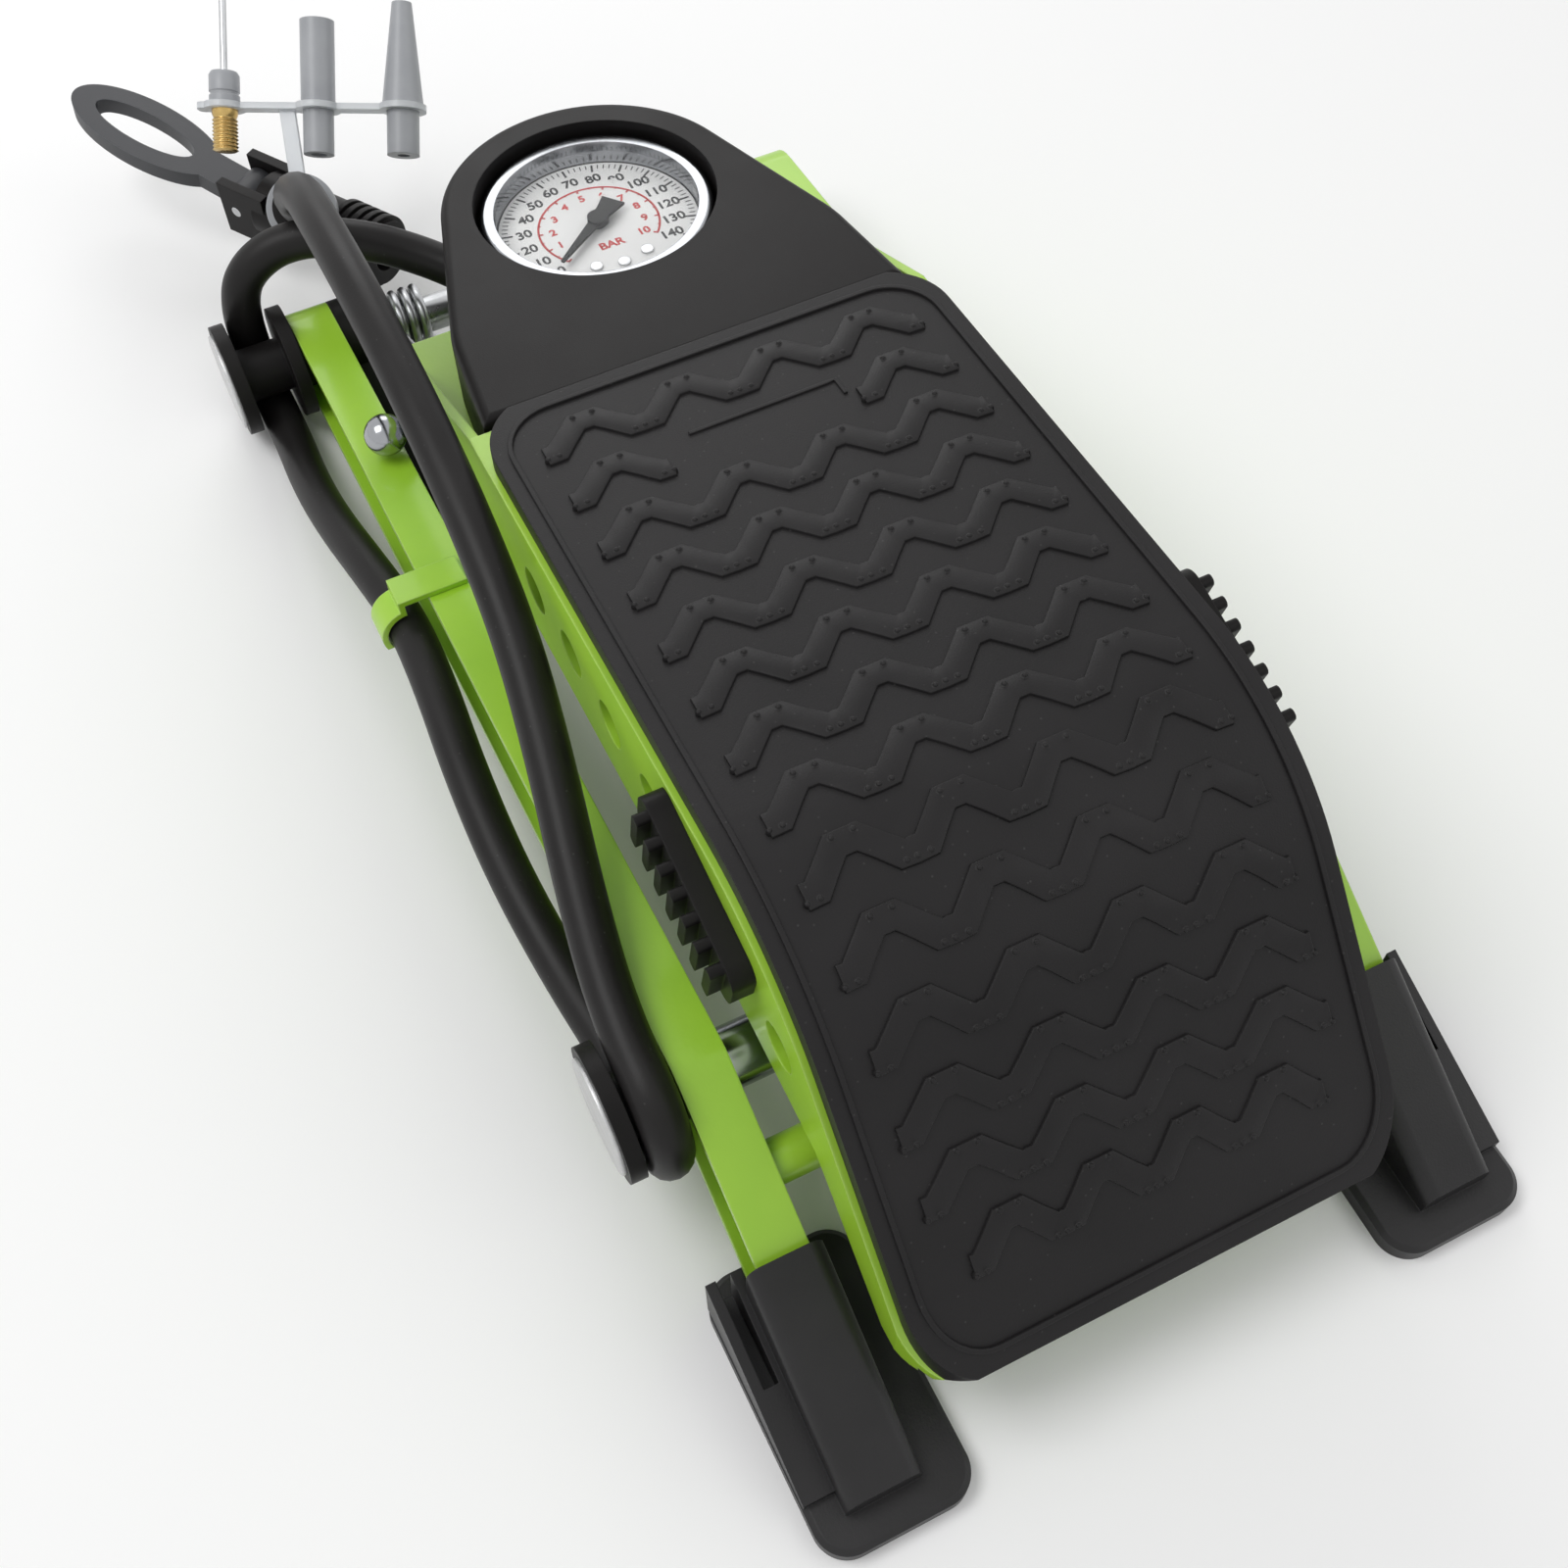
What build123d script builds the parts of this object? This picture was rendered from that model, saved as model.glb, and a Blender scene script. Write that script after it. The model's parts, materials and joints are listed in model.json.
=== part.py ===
"""Folded foot pump with a pedal-mounted pressure gauge, in millimetres.

x = 0 is the pump's plane of symmetry, the floor is z = 0, the gauge stands over y = 0 and the front feet
point along -y.  save() moves every piece so that the origin is the middle of the pump's footprint.
"""
import os
from math import acos, atan2, cos, degrees, hypot, pi, radians, sin, tan

from build123d import *

os.makedirs("parts", exist_ok=True)

# --- driving dimensions -------------------------------------------------------------------------------
# pivots, as (y, z)
REAR_AXLE = (35.0, 15.0)
FRONT_AXLE = (-165.0, 31.0)
BARREL_PIN = (-40.0, 36.0)
REAR_AXLE_R = 4.0
FRONT_AXLE_R = 3.0
BARREL_PIN_R = 3.0
RUN_GAP = 0.06            # radial gap of every pin in its bore
SIDE_GAP = 0.4            # gap between flat faces that slide past each other

# base legs: pressed pans, open outwards
LEG_INNER = 51.5          # x of a leg's inner face
LEG_DEPTH = 9.5           # width of a leg's rim
LEG_HEIGHT = 19.0
LEG_WALL = 1.8
LEG_TOE = (-236.0, -5.0)  # centre line aims here past the bend
LEG_FLOOR_GAP = 4.6       # height at which the toe is cut off

# cross members of the base
CROSS_TUBE = (-183.0, 26.0)
CROSS_TUBE_R = 4.0
CROSSBAR_Y = -18.0
CROSSBAR_WIDTH = 9.0
CROSSBAR_THICK = 2.0
CROSSBAR_Z = 5.2

# feet
FOOT_REAR = -190.0
FOOT_FRONT = -240.0
FOOT_INNER = 41.0
FOOT_OUTER = 69.0
FOOT_THICK = 4.4
FOOT_CORNER = 6.0
SLEEVE_WALL = 1.9
SLEEVE_GAP = 0.25
SLEEVE_MOUTH = -198.0
REAR_FOOT_DEPTH = 20.0
EAR_THICK = 4.2
EAR_R = 9.5

# pedal
DECK_HALF = 44.6          # inner half width between the pedal's flanges
FLANGE_WALL = 1.8
PLATE_WALL = 1.6
PEDAL_EAR_R = 12.0
MAT_THICK = 4.0
MAT_HALF = 45.2
MAT_REAR = (-50.5, 70.7)
MAT_CREST = (-172.5, 80.3)
MAT_FRONT = (-228.0, 23.0)
MAT_CREST_R = 50.0
MAT_CORNER_R = 13.0
FLANGE_UNDERSIDE = [(-213.0, 19.5), (-189.0, 40.0), (-150.0, 44.0), (-75.0, 40.0), (-50.0, 25.0), (-22.0, 19.0)]
LIGHTENING_HOLES = [(-78.0, 54.0), (-95.0, 56.0), (-112.0, 57.0), (-129.0, 58.0), (-176.0, 54.0)]
LIGHTENING_R = 4.5
FLANGE_SLOT = (8.0, 26.0)
BRIDGE_TOP = 50.6
BRIDGE_REAR = -8.0
BRIDGE_FRONT = -45.0

# grips on the pedal's flanges
GRIP_REAR = (-134.0, 67.0)
GRIP_FRONT = (-168.0, 60.0)
GRIP_HEIGHT = 12.0
GRIP_DEPTH = 6.5
GRIP_RIBS = 7

# gauge
GAUGE_AXIS = (0.0, 62.0)  # (y, z) of the bezel's front centre
GAUGE_TILT = 4.5          # degrees, rear side lower
BEZEL_R = 23.5
BEZEL_BORE_R = 20.6
BEZEL_HEIGHT = 5.5
CASE_R = 21.8
CASE_DEPTH = 18.0
CASE_WALL = 0.8
DIAL_R = 20.4
DIAL_DEPTH = 5.0          # dial face below the bezel's front
LENS_DEPTH = 1.2
LENS_THICK = 1.0
WELL_GAP = 0.9
WELL_WALL = 2.0
STEM_R = 5.0
STEM_LENGTH = 12.0

# gauge housing
HOUSING_WALL = 2.4
HOUSING_RIM = 2.4         # housing's top above the bezel
NOSE_R = 31.0
HOUSING_WIDE = 43.2       # half width where it meets the mat
HOUSING_WAIST = (40.5, -26.0)
HOUSING_WAIST_R = 30.0

# barrel and rod, along the line from the barrel pin to the front axle
BARREL_R = 16.0
BARREL_WALL = 1.4
BARREL_START = 12.0
BARREL_END = 104.0
HEAD_PLUG = 9.0
HEAD_LUG_WIDTH = 18.0
HEAD_LUG_R = 11.0
HEAD_FLANGE = 1.4         # head's flange over the barrel's end
OPEN_PIVOT_GAP = 4.6      # radial gap round the pin that the linkage is opened at
CAP_R = 17.2
CAP_LENGTH = 7.0
ROD_R = 4.0
SLEEVE_R = 5.5
PISTON_START = 25.0
PISTON_LENGTH = 9.0
CUP_LENGTH = 3.0
BARREL_FIT = 0.3

# hose
HOSE_R = 4.2
SPOOL_HUB_R = 5.8
SPOOL_FLANGE_R = 12.2
SPOOL_FLANGE = 3.0
SPOOL_GAP = 9.8           # room for the hose between flanges
FRONT_SPOOL_GAP = 9.4
CAP_DISC_R = 10.4
CAP_DISC = 0.8

# storage lock
LOCK_PIN = (-12.3, 33.6)
LOCK_PIN_R = 2.0
LOCK_BALL_R = 4.3
LOCK_TRAVEL = 4.0
LOCK_TAB = 2.0
LOCK_SHY = 0.15           # how far the pin's tip stops short of the lock tab

# torsion spring
SPRING_R = 6.4
SPRING_WIRE_R = 1.1
SPRING_PITCH = 2.7
SPRING_TURNS = 5

# chuck, laid behind the pump
CHUCK_MOUTH = (-33.0, 53.0, 19.0)
CHUCK_HEADING = 123.3     # degrees from +x to the chuck's lever end
CHUCK_LENGTH = 42.0
CHUCK_R = 7.4
CHUCK_BORE_R = 4.1
CHUCK_BORE_DEPTH = 9.0    # down to the gasket
GASKET_R = 4.6
GASKET_LENGTH = 7.0
COLLAR_AT = 22.0          # hose tail, measured from the mouth
LEVER_LENGTH = 50.0
LEVER_WIDTH = 17.0
LEVER_THICK = 4.0
LEVER_PIN_R = 1.25

# --- derived sizes ------------------------------------------------------------------------------------
LEG_OUTER = LEG_INNER + LEG_DEPTH
FLANGE_OUTER = DECK_HALF + FLANGE_WALL
SPOOL_X = -(LEG_OUTER + SIDE_GAP)
REAR_HOSE_X = SPOOL_X - SPOOL_FLANGE - SPOOL_GAP / 2
FRONT_HOSE_X = -LEG_OUTER - FRONT_SPOOL_GAP / 2
REAR_SPOOL_END = SPOOL_X - 2 * SPOOL_FLANGE - SPOOL_GAP
HOSE_TURN_R = SPOOL_HUB_R + HOSE_R + 0.2
ROW_SHIFT = Location((
    (CAP_DISC - REAR_SPOOL_END - FOOT_OUTER) / 2,
    -(FOOT_FRONT + REAR_AXLE[0] + SPOOL_FLANGE_R) / 2,
    0,
))


# --- helpers ------------------------------------------------------------------------------------------
def save(name, *shapes):
    """Write the given solids, moved to the footprint's frame, as one node."""
    solids = [solid for shape in shapes for solid in shape.solids()]
    placed = [ROW_SHIFT * solid for solid in solids]
    export_step(placed[0] if len(placed) == 1 else Compound(children=placed), f"parts/{name}.step")
    return Compound(children=[ROW_SHIFT * solid for solid in solids])


def slab(sketch, x0, x1):
    """Extrude a side-view sketch, drawn in (y, z), from x0 to x1."""
    return extrude(Plane.YZ.offset(x0) * sketch, amount=x1 - x0, dir=(1, 0, 0))


def round_x(centre, radius, x0, x1):
    """Cylinder along x round the point (y, z)."""
    return Pos((x0 + x1) / 2, *centre) * Rot(0, 90, 0) * Cylinder(radius, abs(x1 - x0))


def ring_x(centre, radius, bore, x0, x1):
    return round_x(centre, radius, x0, x1) - round_x(centre, bore, min(x0, x1) - 1, max(x0, x1) + 1)


def slot(start, end, height):
    """Side-view bar of that height with round ends, from start to end."""
    dy, dz = end[0] - start[0], end[1] - start[1]
    middle = Pos((start[0] + end[0]) / 2, (start[1] + end[1]) / 2)
    return middle * Rot(0, 0, degrees(atan2(dz, dy))) * SlotCenterToCenter(hypot(dy, dz), height)


def both_sides(shape):
    return [shape, mirror(shape, about=Plane.YZ)]


def deck_line(depth):
    """Corners and crest radius of the line that lies depth below the mat's top."""
    (y0, z0), (y1, z1), (y2, z2) = MAT_REAR, MAT_CREST, MAT_FRONT
    rear = atan2(z1 - z0, y1 - y0)
    front = atan2(z2 - z1, y2 - y1)
    normal = [(-sin(a) * depth, cos(a) * depth) for a in (rear, front)]
    middle = (rear + front) / 2 if front > rear else (rear + front + radians(360)) / 2
    reach = depth / cos((middle - rear))
    corner = (y1 - sin(middle) * reach, z1 + cos(middle) * reach)
    start = (y0 + normal[0][0], z0 + normal[0][1])
    end = (y2 + normal[1][0], z2 + normal[1][1])
    return [start, corner, end], MAT_CREST_R - depth


def deck_band(top, bottom):
    """Side-view strip between two depths below the mat's top."""
    upper, upper_r = deck_line(top)
    lower, lower_r = deck_line(bottom)
    edges = (
        FilletPolyline(*upper, radius=upper_r)
        + Line(upper[-1], lower[-1])
        + FilletPolyline(*reversed(lower), radius=lower_r)
        + Line(lower[0], upper[0])
    )
    return make_face(edges)


def route(points, radii=None):
    """Centre line through hand-chosen points: straight runs joined by the largest fair arcs."""
    points = [Vector(*p) for p in points]
    chosen = []
    for i in range(1, len(points) - 1):
        before, after = points[i] - points[i - 1], points[i + 1] - points[i]
        turn = radians(before.get_angle(after))
        fair = 0.45 * min(before.length, after.length) / tan(turn / 2)
        chosen.append((radii or {}).get(i, fair))
    print("cord radii", [round(r, 1) for r in chosen])
    return FilletPolyline(*points, radius=chosen)


def hose_along(path):
    start = path @ 0
    profile = Plane(origin=start, z_dir=path % 0) * Circle(HOSE_R)
    tube = sweep(profile, path=path)
    print("hose length", round(path.length, 1), "volume ratio",
          round(tube.volume / (path.length * pi * HOSE_R ** 2), 4))
    return tube


# --- base ---------------------------------------------------------------------------------------------
def leg():
    """Left leg: a pan with its web inside and a rim all round, bent down to the front foot."""
    def outline(height, floor):
        bar = slot(REAR_AXLE, FRONT_AXLE, height) + slot(FRONT_AXLE, LEG_TOE, height)
        return bar - Pos(LEG_TOE[0], floor - 50) * Rectangle(200, 100)

    blank = slab(outline(LEG_HEIGHT, LEG_FLOOR_GAP), -LEG_OUTER, -LEG_INNER)
    pocket = slab(outline(LEG_HEIGHT - 2 * LEG_WALL, LEG_FLOOR_GAP + LEG_WALL), -LEG_OUTER - 1, -LEG_INNER - LEG_WALL)
    holes = round_x(REAR_AXLE, REAR_AXLE_R + RUN_GAP, -70, -40) + round_x(FRONT_AXLE, FRONT_AXLE_R + RUN_GAP, -70, -40)
    toe_clip = Pos(-LEG_INNER - LEG_DEPTH / 2, FOOT_FRONT - 3, 20) * Box(30, 20, 60)
    return blank - pocket - holes - toe_clip


def front_foot():
    """Left rubber foot: a rounded sole with a sloping sleeve that the leg's toe pushes into."""
    width = FOOT_OUTER - FOOT_INNER
    length = FOOT_REAR - FOOT_FRONT
    middle = Pos(-(FOOT_INNER + FOOT_OUTER) / 2, (FOOT_REAR + FOOT_FRONT) / 2)
    sole = middle * extrude(RectangleRounded(width, length, FOOT_CORNER), FOOT_THICK)
    sole = chamfer(sole.edges().group_by(Axis.Z)[-1], 1.0)
    inner, outer = -LEG_INNER + SLEEVE_GAP + SLEEVE_WALL, -LEG_OUTER - SLEEVE_GAP - SLEEVE_WALL
    drop = atan2(FRONT_AXLE[1] - LEG_TOE[1], FRONT_AXLE[0] - LEG_TOE[0])
    rise = (LEG_HEIGHT / 2 + SLEEVE_GAP + SLEEVE_WALL) / cos(drop)

    def line(y):
        return FRONT_AXLE[1] + tan(drop) * (y - FRONT_AXLE[0])

    nose = FOOT_FRONT + 6
    shape = Polygon((SLEEVE_MOUTH, FOOT_THICK - 1), (SLEEVE_MOUTH, line(SLEEVE_MOUTH) + rise),
                    (nose, line(nose) + rise), (nose, FOOT_THICK - 1), align=None)
    sleeve = slab(shape, outer, inner)
    sleeve = fillet([e for e in sleeve.edges().filter_by(GeomType.LINE)
                     if e.center().Z > FOOT_THICK and abs((e @ 1 - e @ 0).Y) > 20], 2.6)
    step_width = FOOT_OUTER + outer - 0.2
    step = Polygon((SLEEVE_MOUTH + 4, FOOT_THICK - 1), (SLEEVE_MOUTH + 4, 17), (nose + 4, FOOT_THICK + 1.5),
                   (nose + 4, FOOT_THICK - 1), align=None)
    ledge = slab(step, outer - step_width, outer + 1)
    pit = Pos(outer - step_width / 2 + 0.4, SLEEVE_MOUTH - 4, 12) * Box(step_width - 3, 20, 14)
    cavity_height = LEG_HEIGHT + 2 * SLEEVE_GAP
    cavity = slot(FRONT_AXLE, LEG_TOE, cavity_height)
    cavity -= Pos(LEG_TOE[0], LEG_FLOOR_GAP - SLEEVE_GAP + 0.05 - 50) * Rectangle(200, 100)
    room = slab(cavity, -LEG_OUTER - SLEEVE_GAP, -LEG_INNER + SLEEVE_GAP)
    room -= Pos(-LEG_INNER, FOOT_FRONT - 3.2, 20) * Box(40, 20, 60)
    return sole + sleeve + (ledge - pit) - room


def rear_foot():
    """Black foot under the crossbar, with an arm on each side up to the rear axle."""
    sole_top = CROSSBAR_Z
    inner = LEG_INNER - SIDE_GAP / 2 - EAR_THICK
    width = 2 * (inner + EAR_THICK)
    sole = Pos(0, CROSSBAR_Y - 2) * extrude(RectangleRounded(width, REAR_FOOT_DEPTH, 7), sole_top)
    low = (CROSSBAR_Y - 2, 3.2)
    arm = slot(REAR_AXLE, low, 6.4) + Pos(*REAR_AXLE) * Circle(EAR_R)
    arm = slab(arm, -inner - EAR_THICK, -inner) - round_x(REAR_AXLE, REAR_AXLE_R + RUN_GAP, -60, -40)
    arm -= Pos(-inner - EAR_THICK / 2, CROSSBAR_Y, CROSSBAR_Z + 5) * Box(20, CROSSBAR_WIDTH + 0.4, 10)
    return sole + arm + mirror(arm, about=Plane.YZ)


def crossbar():
    """Flat bar welded between the legs, over the rear foot."""
    bar = Pos(0, CROSSBAR_Y, CROSSBAR_Z + CROSSBAR_THICK / 2) * Box(2 * LEG_INNER, CROSSBAR_WIDTH, CROSSBAR_THICK)
    tab_x = -(DECK_HALF - SIDE_GAP - LOCK_TAB / 2)
    height = LOCK_PIN[1] + 6 - CROSSBAR_Z
    tab = Pos(tab_x, LOCK_PIN[0] - 2, CROSSBAR_Z + height / 2) * Box(LOCK_TAB, 12, height)
    tab = fillet(tab.edges().filter_by(Axis.X).group_by(Axis.Z)[-1], 5)
    hole = round_x(LOCK_PIN, LOCK_PIN_R + 0.3, -DECK_HALF, -30)
    return bar + (tab - hole)


def rear_axle():
    return round_x(REAR_AXLE, REAR_AXLE_R, REAR_SPOOL_END + 1.2, LEG_OUTER - 2)


def front_axle():
    return round_x(FRONT_AXLE, FRONT_AXLE_R, FRONT_HOSE_X - FRONT_SPOOL_GAP / 2 - 1.8, LEG_OUTER - 2)


def nut(centre, radius, flats, thick, x0):
    """Hexagon nut on an axle's right-hand end."""
    hexagon = Pos(*centre) * RegularPolygon(flats / 2, 6, major_radius=False) - Pos(*centre) * Circle(radius + RUN_GAP)
    return slab(hexagon, x0, x0 + thick)


def axle_nuts():
    seat = LEG_INNER + LEG_WALL + 1.2
    return [nut(REAR_AXLE, REAR_AXLE_R, 12.0, 5.0, seat), nut(FRONT_AXLE, FRONT_AXLE_R, 10.0, 4.5, seat)]


def axle_washers():
    seat = LEG_INNER + LEG_WALL
    return [ring_x(REAR_AXLE, 7.4, REAR_AXLE_R + RUN_GAP, seat, seat + 1.2),
            ring_x(FRONT_AXLE, 6.4, FRONT_AXLE_R + RUN_GAP, seat, seat + 1.2)]


def spool(centre, axle_r, gap, inner_flange):
    """Hose cleat: a hub between two flanges, with a boss that seats on the leg's web."""
    start = SPOOL_X if inner_flange else -LEG_OUTER
    boss = round_x(centre, 6.6, start, -LEG_INNER - LEG_WALL)
    hub_end = start - gap - (SPOOL_FLANGE if inner_flange else 0)
    hub = round_x(centre, SPOOL_HUB_R, hub_end, start)
    body = boss + hub + round_x(centre, SPOOL_FLANGE_R, hub_end - SPOOL_FLANGE, hub_end)
    if inner_flange:
        body += round_x(centre, SPOOL_FLANGE_R, start - SPOOL_FLANGE, start)
    bore_end = hub_end - SPOOL_FLANGE + 1.0
    return body - round_x(centre, axle_r + RUN_GAP, bore_end, 0)


def spool_caps():
    discs = []
    for centre, end in ((REAR_AXLE, REAR_SPOOL_END), (FRONT_AXLE, -LEG_OUTER - FRONT_SPOOL_GAP - SPOOL_FLANGE)):
        disc = round_x(centre, CAP_DISC_R, end - CAP_DISC, end)
        discs.append(fillet(disc.edges().group_by(Axis.X)[0], 0.3))
    return discs


def cross_tube():
    return ring_x(CROSS_TUBE, CROSS_TUBE_R, CROSS_TUBE_R - 1.2, -LEG_INNER, LEG_INNER)


HOSE_CLIP_AT = (-66.0, -50.0, 24.0)


def leg_line(y):
    """Height of the leg's centre line, behind the bend."""
    share = (y - REAR_AXLE[0]) / (FRONT_AXLE[0] - REAR_AXLE[0])
    return REAR_AXLE[1] + share * (FRONT_AXLE[1] - REAR_AXLE[1])


def hose_clip():
    """Steel strap on the leg's top edge that hooks over the hose and down its outer side."""
    x, y, z = HOSE_CLIP_AT
    inside = HOSE_R + 0.6
    wall = 1.2
    width = 7.0
    top = leg_line(y) + LEG_HEIGHT / 2
    lean = degrees(atan2(FRONT_AXLE[1] - REAR_AXLE[1], REAR_AXLE[0] - FRONT_AXLE[0]))
    hook = Circle(inside + wall) - Circle(inside)
    hook -= Pos(10, 0) * Rectangle(20, 40)
    hook -= Pos(0, -12.5) * Rectangle(40, 20)
    riser = top + 0.1 - (z + inside)
    arm = Pos(-wall / 2, inside + riser / 2 + wall / 2) * Rectangle(wall, riser + wall)
    foot = Pos((x * -1 - 53) / 2, inside + riser + wall / 2) * Rectangle(-x - 53, wall)
    bend = Pos(-wall / 2, inside + wall / 2) * Rectangle(wall, wall)
    sketch = hook + arm + foot + bend
    strap = extrude(Plane(origin=(x, y + width / 2, z), x_dir=(1, 0, 0), z_dir=(0, -1, 0)) * sketch, width)
    return Pos(0, y, top) * Rot(-lean, 0, 0) * Pos(0, -y, -top) * strap


# --- pedal --------------------------------------------------------------------------------------------
def pedal_frame():
    """Pressed steel channel: a curved deck, two flanges with ears on the rear axle, a bridge for the gauge."""
    deck = slab(deck_band(MAT_THICK, MAT_THICK + PLATE_WALL), -DECK_HALF - 0.1, DECK_HALF + 0.1)
    line, crest_r = deck_line(MAT_THICK)
    ear_low = (REAR_AXLE[0] - PEDAL_EAR_R * 0.5, REAR_AXLE[1] - PEDAL_EAR_R * 0.86)
    ear_high = (REAR_AXLE[0] + PEDAL_EAR_R * 0.42, REAR_AXLE[1] + PEDAL_EAR_R * 0.9)
    rest = Polyline(line[-1], *FLANGE_UNDERSIDE, ear_low, REAR_AXLE, ear_high, line[0])
    side = make_face(FilletPolyline(*line, radius=crest_r) + rest) + Pos(*REAR_AXLE) * Circle(PEDAL_EAR_R)
    for hole in LIGHTENING_HOLES:
        side -= Pos(*hole) * Circle(LIGHTENING_R)
    side -= Pos(*FLANGE_SLOT) * Rot(0, 0, -22) * SlotCenterToCenter(12, 5)
    side -= Pos(*REAR_AXLE) * Circle(REAR_AXLE_R + RUN_GAP)
    side -= Pos(*BARREL_PIN) * Circle(BARREL_PIN_R + RUN_GAP)
    left = slab(side - Pos(*LOCK_PIN) * Circle(LOCK_PIN_R + 0.3), -FLANGE_OUTER, -DECK_HALF)
    right = slab(side, DECK_HALF, FLANGE_OUTER)
    depth = BRIDGE_REAR - BRIDGE_FRONT
    bridge = Pos(0, BRIDGE_FRONT + depth / 2, BRIDGE_TOP - PLATE_WALL / 2) * Box(2 * DECK_HALF + 0.2, depth, PLATE_WALL)
    bridge -= Pos(0, GAUGE_AXIS[0], BRIDGE_TOP) * Cylinder(BEZEL_R + WELL_GAP + WELL_WALL + 0.5, 20)
    length = PEDAL_EAR_R + REAR_AXLE[0] + 10 - MAT_FRONT[0]
    outline = RectangleRounded(2 * FLANGE_OUTER + 0.4, length, MAT_CORNER_R)
    trim = Pos(0, MAT_FRONT[0] + length / 2, -10) * extrude(outline, 150)
    return (deck + left + right + bridge) & trim


def tread_mat():
    """Rubber mat on the deck, with round corners at both ends."""
    blank = slab(deck_band(0, MAT_THICK), -MAT_HALF, MAT_HALF)
    length = MAT_REAR[0] - MAT_FRONT[0]
    shape = RectangleRounded(2 * MAT_HALF, length + 2.6, MAT_CORNER_R)
    return blank & Pos(0, (MAT_REAR[0] + MAT_FRONT[0]) / 2 + 0.2, 0) * extrude(shape, 100)


def side_grip():
    """Left ribbed thumb grip, clipped on the flange."""
    face = -FLANGE_OUTER
    lean = degrees(atan2(GRIP_REAR[1] - GRIP_FRONT[1], GRIP_REAR[0] - GRIP_FRONT[0]))
    middle = ((GRIP_REAR[0] + GRIP_FRONT[0]) / 2, (GRIP_REAR[1] + GRIP_FRONT[1]) / 2)
    length = hypot(GRIP_REAR[0] - GRIP_FRONT[0], GRIP_REAR[1] - GRIP_FRONT[1])
    base = Pos(*middle) * Rot(0, 0, lean) * RectangleRounded(length, GRIP_HEIGHT, 3.5)
    body = slab(base, face - GRIP_DEPTH * 0.62, face)
    pitch = (length - 8) / (GRIP_RIBS - 1)
    for i in range(GRIP_RIBS):
        along = -(length - 8) / 2 + i * pitch
        rib = Pos(*middle) * Rot(0, 0, lean) * Pos(along, 0) * RectangleRounded(2.2, GRIP_HEIGHT - 1, 1)
        body += slab(rib, face - GRIP_DEPTH, face)
    return body


def barrel_pin():
    """Riveted pin through both flanges, on which the barrel's head is hung."""
    head_x = FLANGE_OUTER + 0.9
    pin = round_x(BARREL_PIN, BARREL_PIN_R, -head_x, head_x)
    for shape in both_sides(round_x(BARREL_PIN, 5.0, -head_x, -FLANGE_OUTER)):
        pin += shape
    return pin


GAUGE = Plane(origin=(0, *GAUGE_AXIS), x_dir=(1, 0, 0),
              z_dir=(0, sin(radians(GAUGE_TILT)), cos(radians(GAUGE_TILT))))


def drum(radius, top, bottom, bore=0.0, x=0.0, y=0.0):
    """Cylinder on the gauge's axis, between two depths below the bezel's front."""
    sketch = Circle(radius) - Circle(bore) if bore else Circle(radius)
    return GAUGE * Pos(x, y, -bottom) * extrude(sketch, bottom - top)


def housing_outline():
    """Plan of the gauge housing: a round nose behind the gauge, widening to the mat."""
    waist_x, waist_y = HOUSING_WAIST
    front = MAT_REAR[0] + 0.35
    tangent = atan2(waist_y, waist_x) + acos(NOSE_R / hypot(waist_x, waist_y))
    half = [(NOSE_R * cos(tangent), NOSE_R * sin(tangent)), HOUSING_WAIST, (HOUSING_WIDE, front)]
    sketch = Circle(NOSE_R) + Polygon(*[(-x, y) for x, y in half], *reversed(half), align=None)
    waist = [v for v in sketch.vertices() if abs(v.Y - waist_y) < 0.1]
    return fillet(waist, HOUSING_WAIST_R)


def gauge_housing():
    """Plastic housing round the gauge: a skirt, a sloping top and a well with a ledge for the bezel."""
    outline = housing_outline()
    skirt = Pos(0, 0, BRIDGE_TOP) * extrude(outline, 30)
    lid = GAUGE * Pos(0, 0, HOUSING_RIM + 50) * Box(200, 200, 100)
    outer = skirt - lid
    outer = fillet(outer.faces().sort_by(Axis.Z)[-1].edges(), 2.0)
    inner = Pos(0, 0, BRIDGE_TOP - 1) * extrude(offset(outline, -HOUSING_WALL), 30)
    shell = outer - (inner - GAUGE * Pos(0, 0, HOUSING_RIM + 50 - HOUSING_WALL) * Box(200, 200, 100))
    well_r = BEZEL_R + WELL_GAP
    shell -= drum(well_r, -20, 30)
    well = drum(well_r + WELL_WALL, -HOUSING_RIM + 0.4, BEZEL_HEIGHT + 4, well_r)
    ledge = drum(well_r + 0.5, BEZEL_HEIGHT, BEZEL_HEIGHT + 2, CASE_R + 0.3)
    return shell + well + ledge


def gauge_case():
    back = CASE_DEPTH + BEZEL_HEIGHT
    can = drum(CASE_R, DIAL_DEPTH + 1.4, back) - drum(CASE_R - CASE_WALL, 0, back - CASE_WALL)
    return can - drum(STEM_R - 1.5, 0, back + 5)


def gauge_bezel():
    ring = drum(BEZEL_R, 0, BEZEL_HEIGHT, BEZEL_BORE_R)
    ring = fillet(ring.edges().filter_by(GeomType.CIRCLE).group_by(SortBy.RADIUS)[-1].sort_by(Axis.Z)[-1], 1.2)
    return ring - drum(DIAL_R + 0.6, DIAL_DEPTH - 0.1, BEZEL_HEIGHT + 1)


def gauge_dial():
    return drum(DIAL_R, DIAL_DEPTH, DIAL_DEPTH + 0.8, 1.2)


def gauge_lens():
    return drum(BEZEL_BORE_R, LENS_DEPTH, LENS_DEPTH + LENS_THICK)


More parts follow.
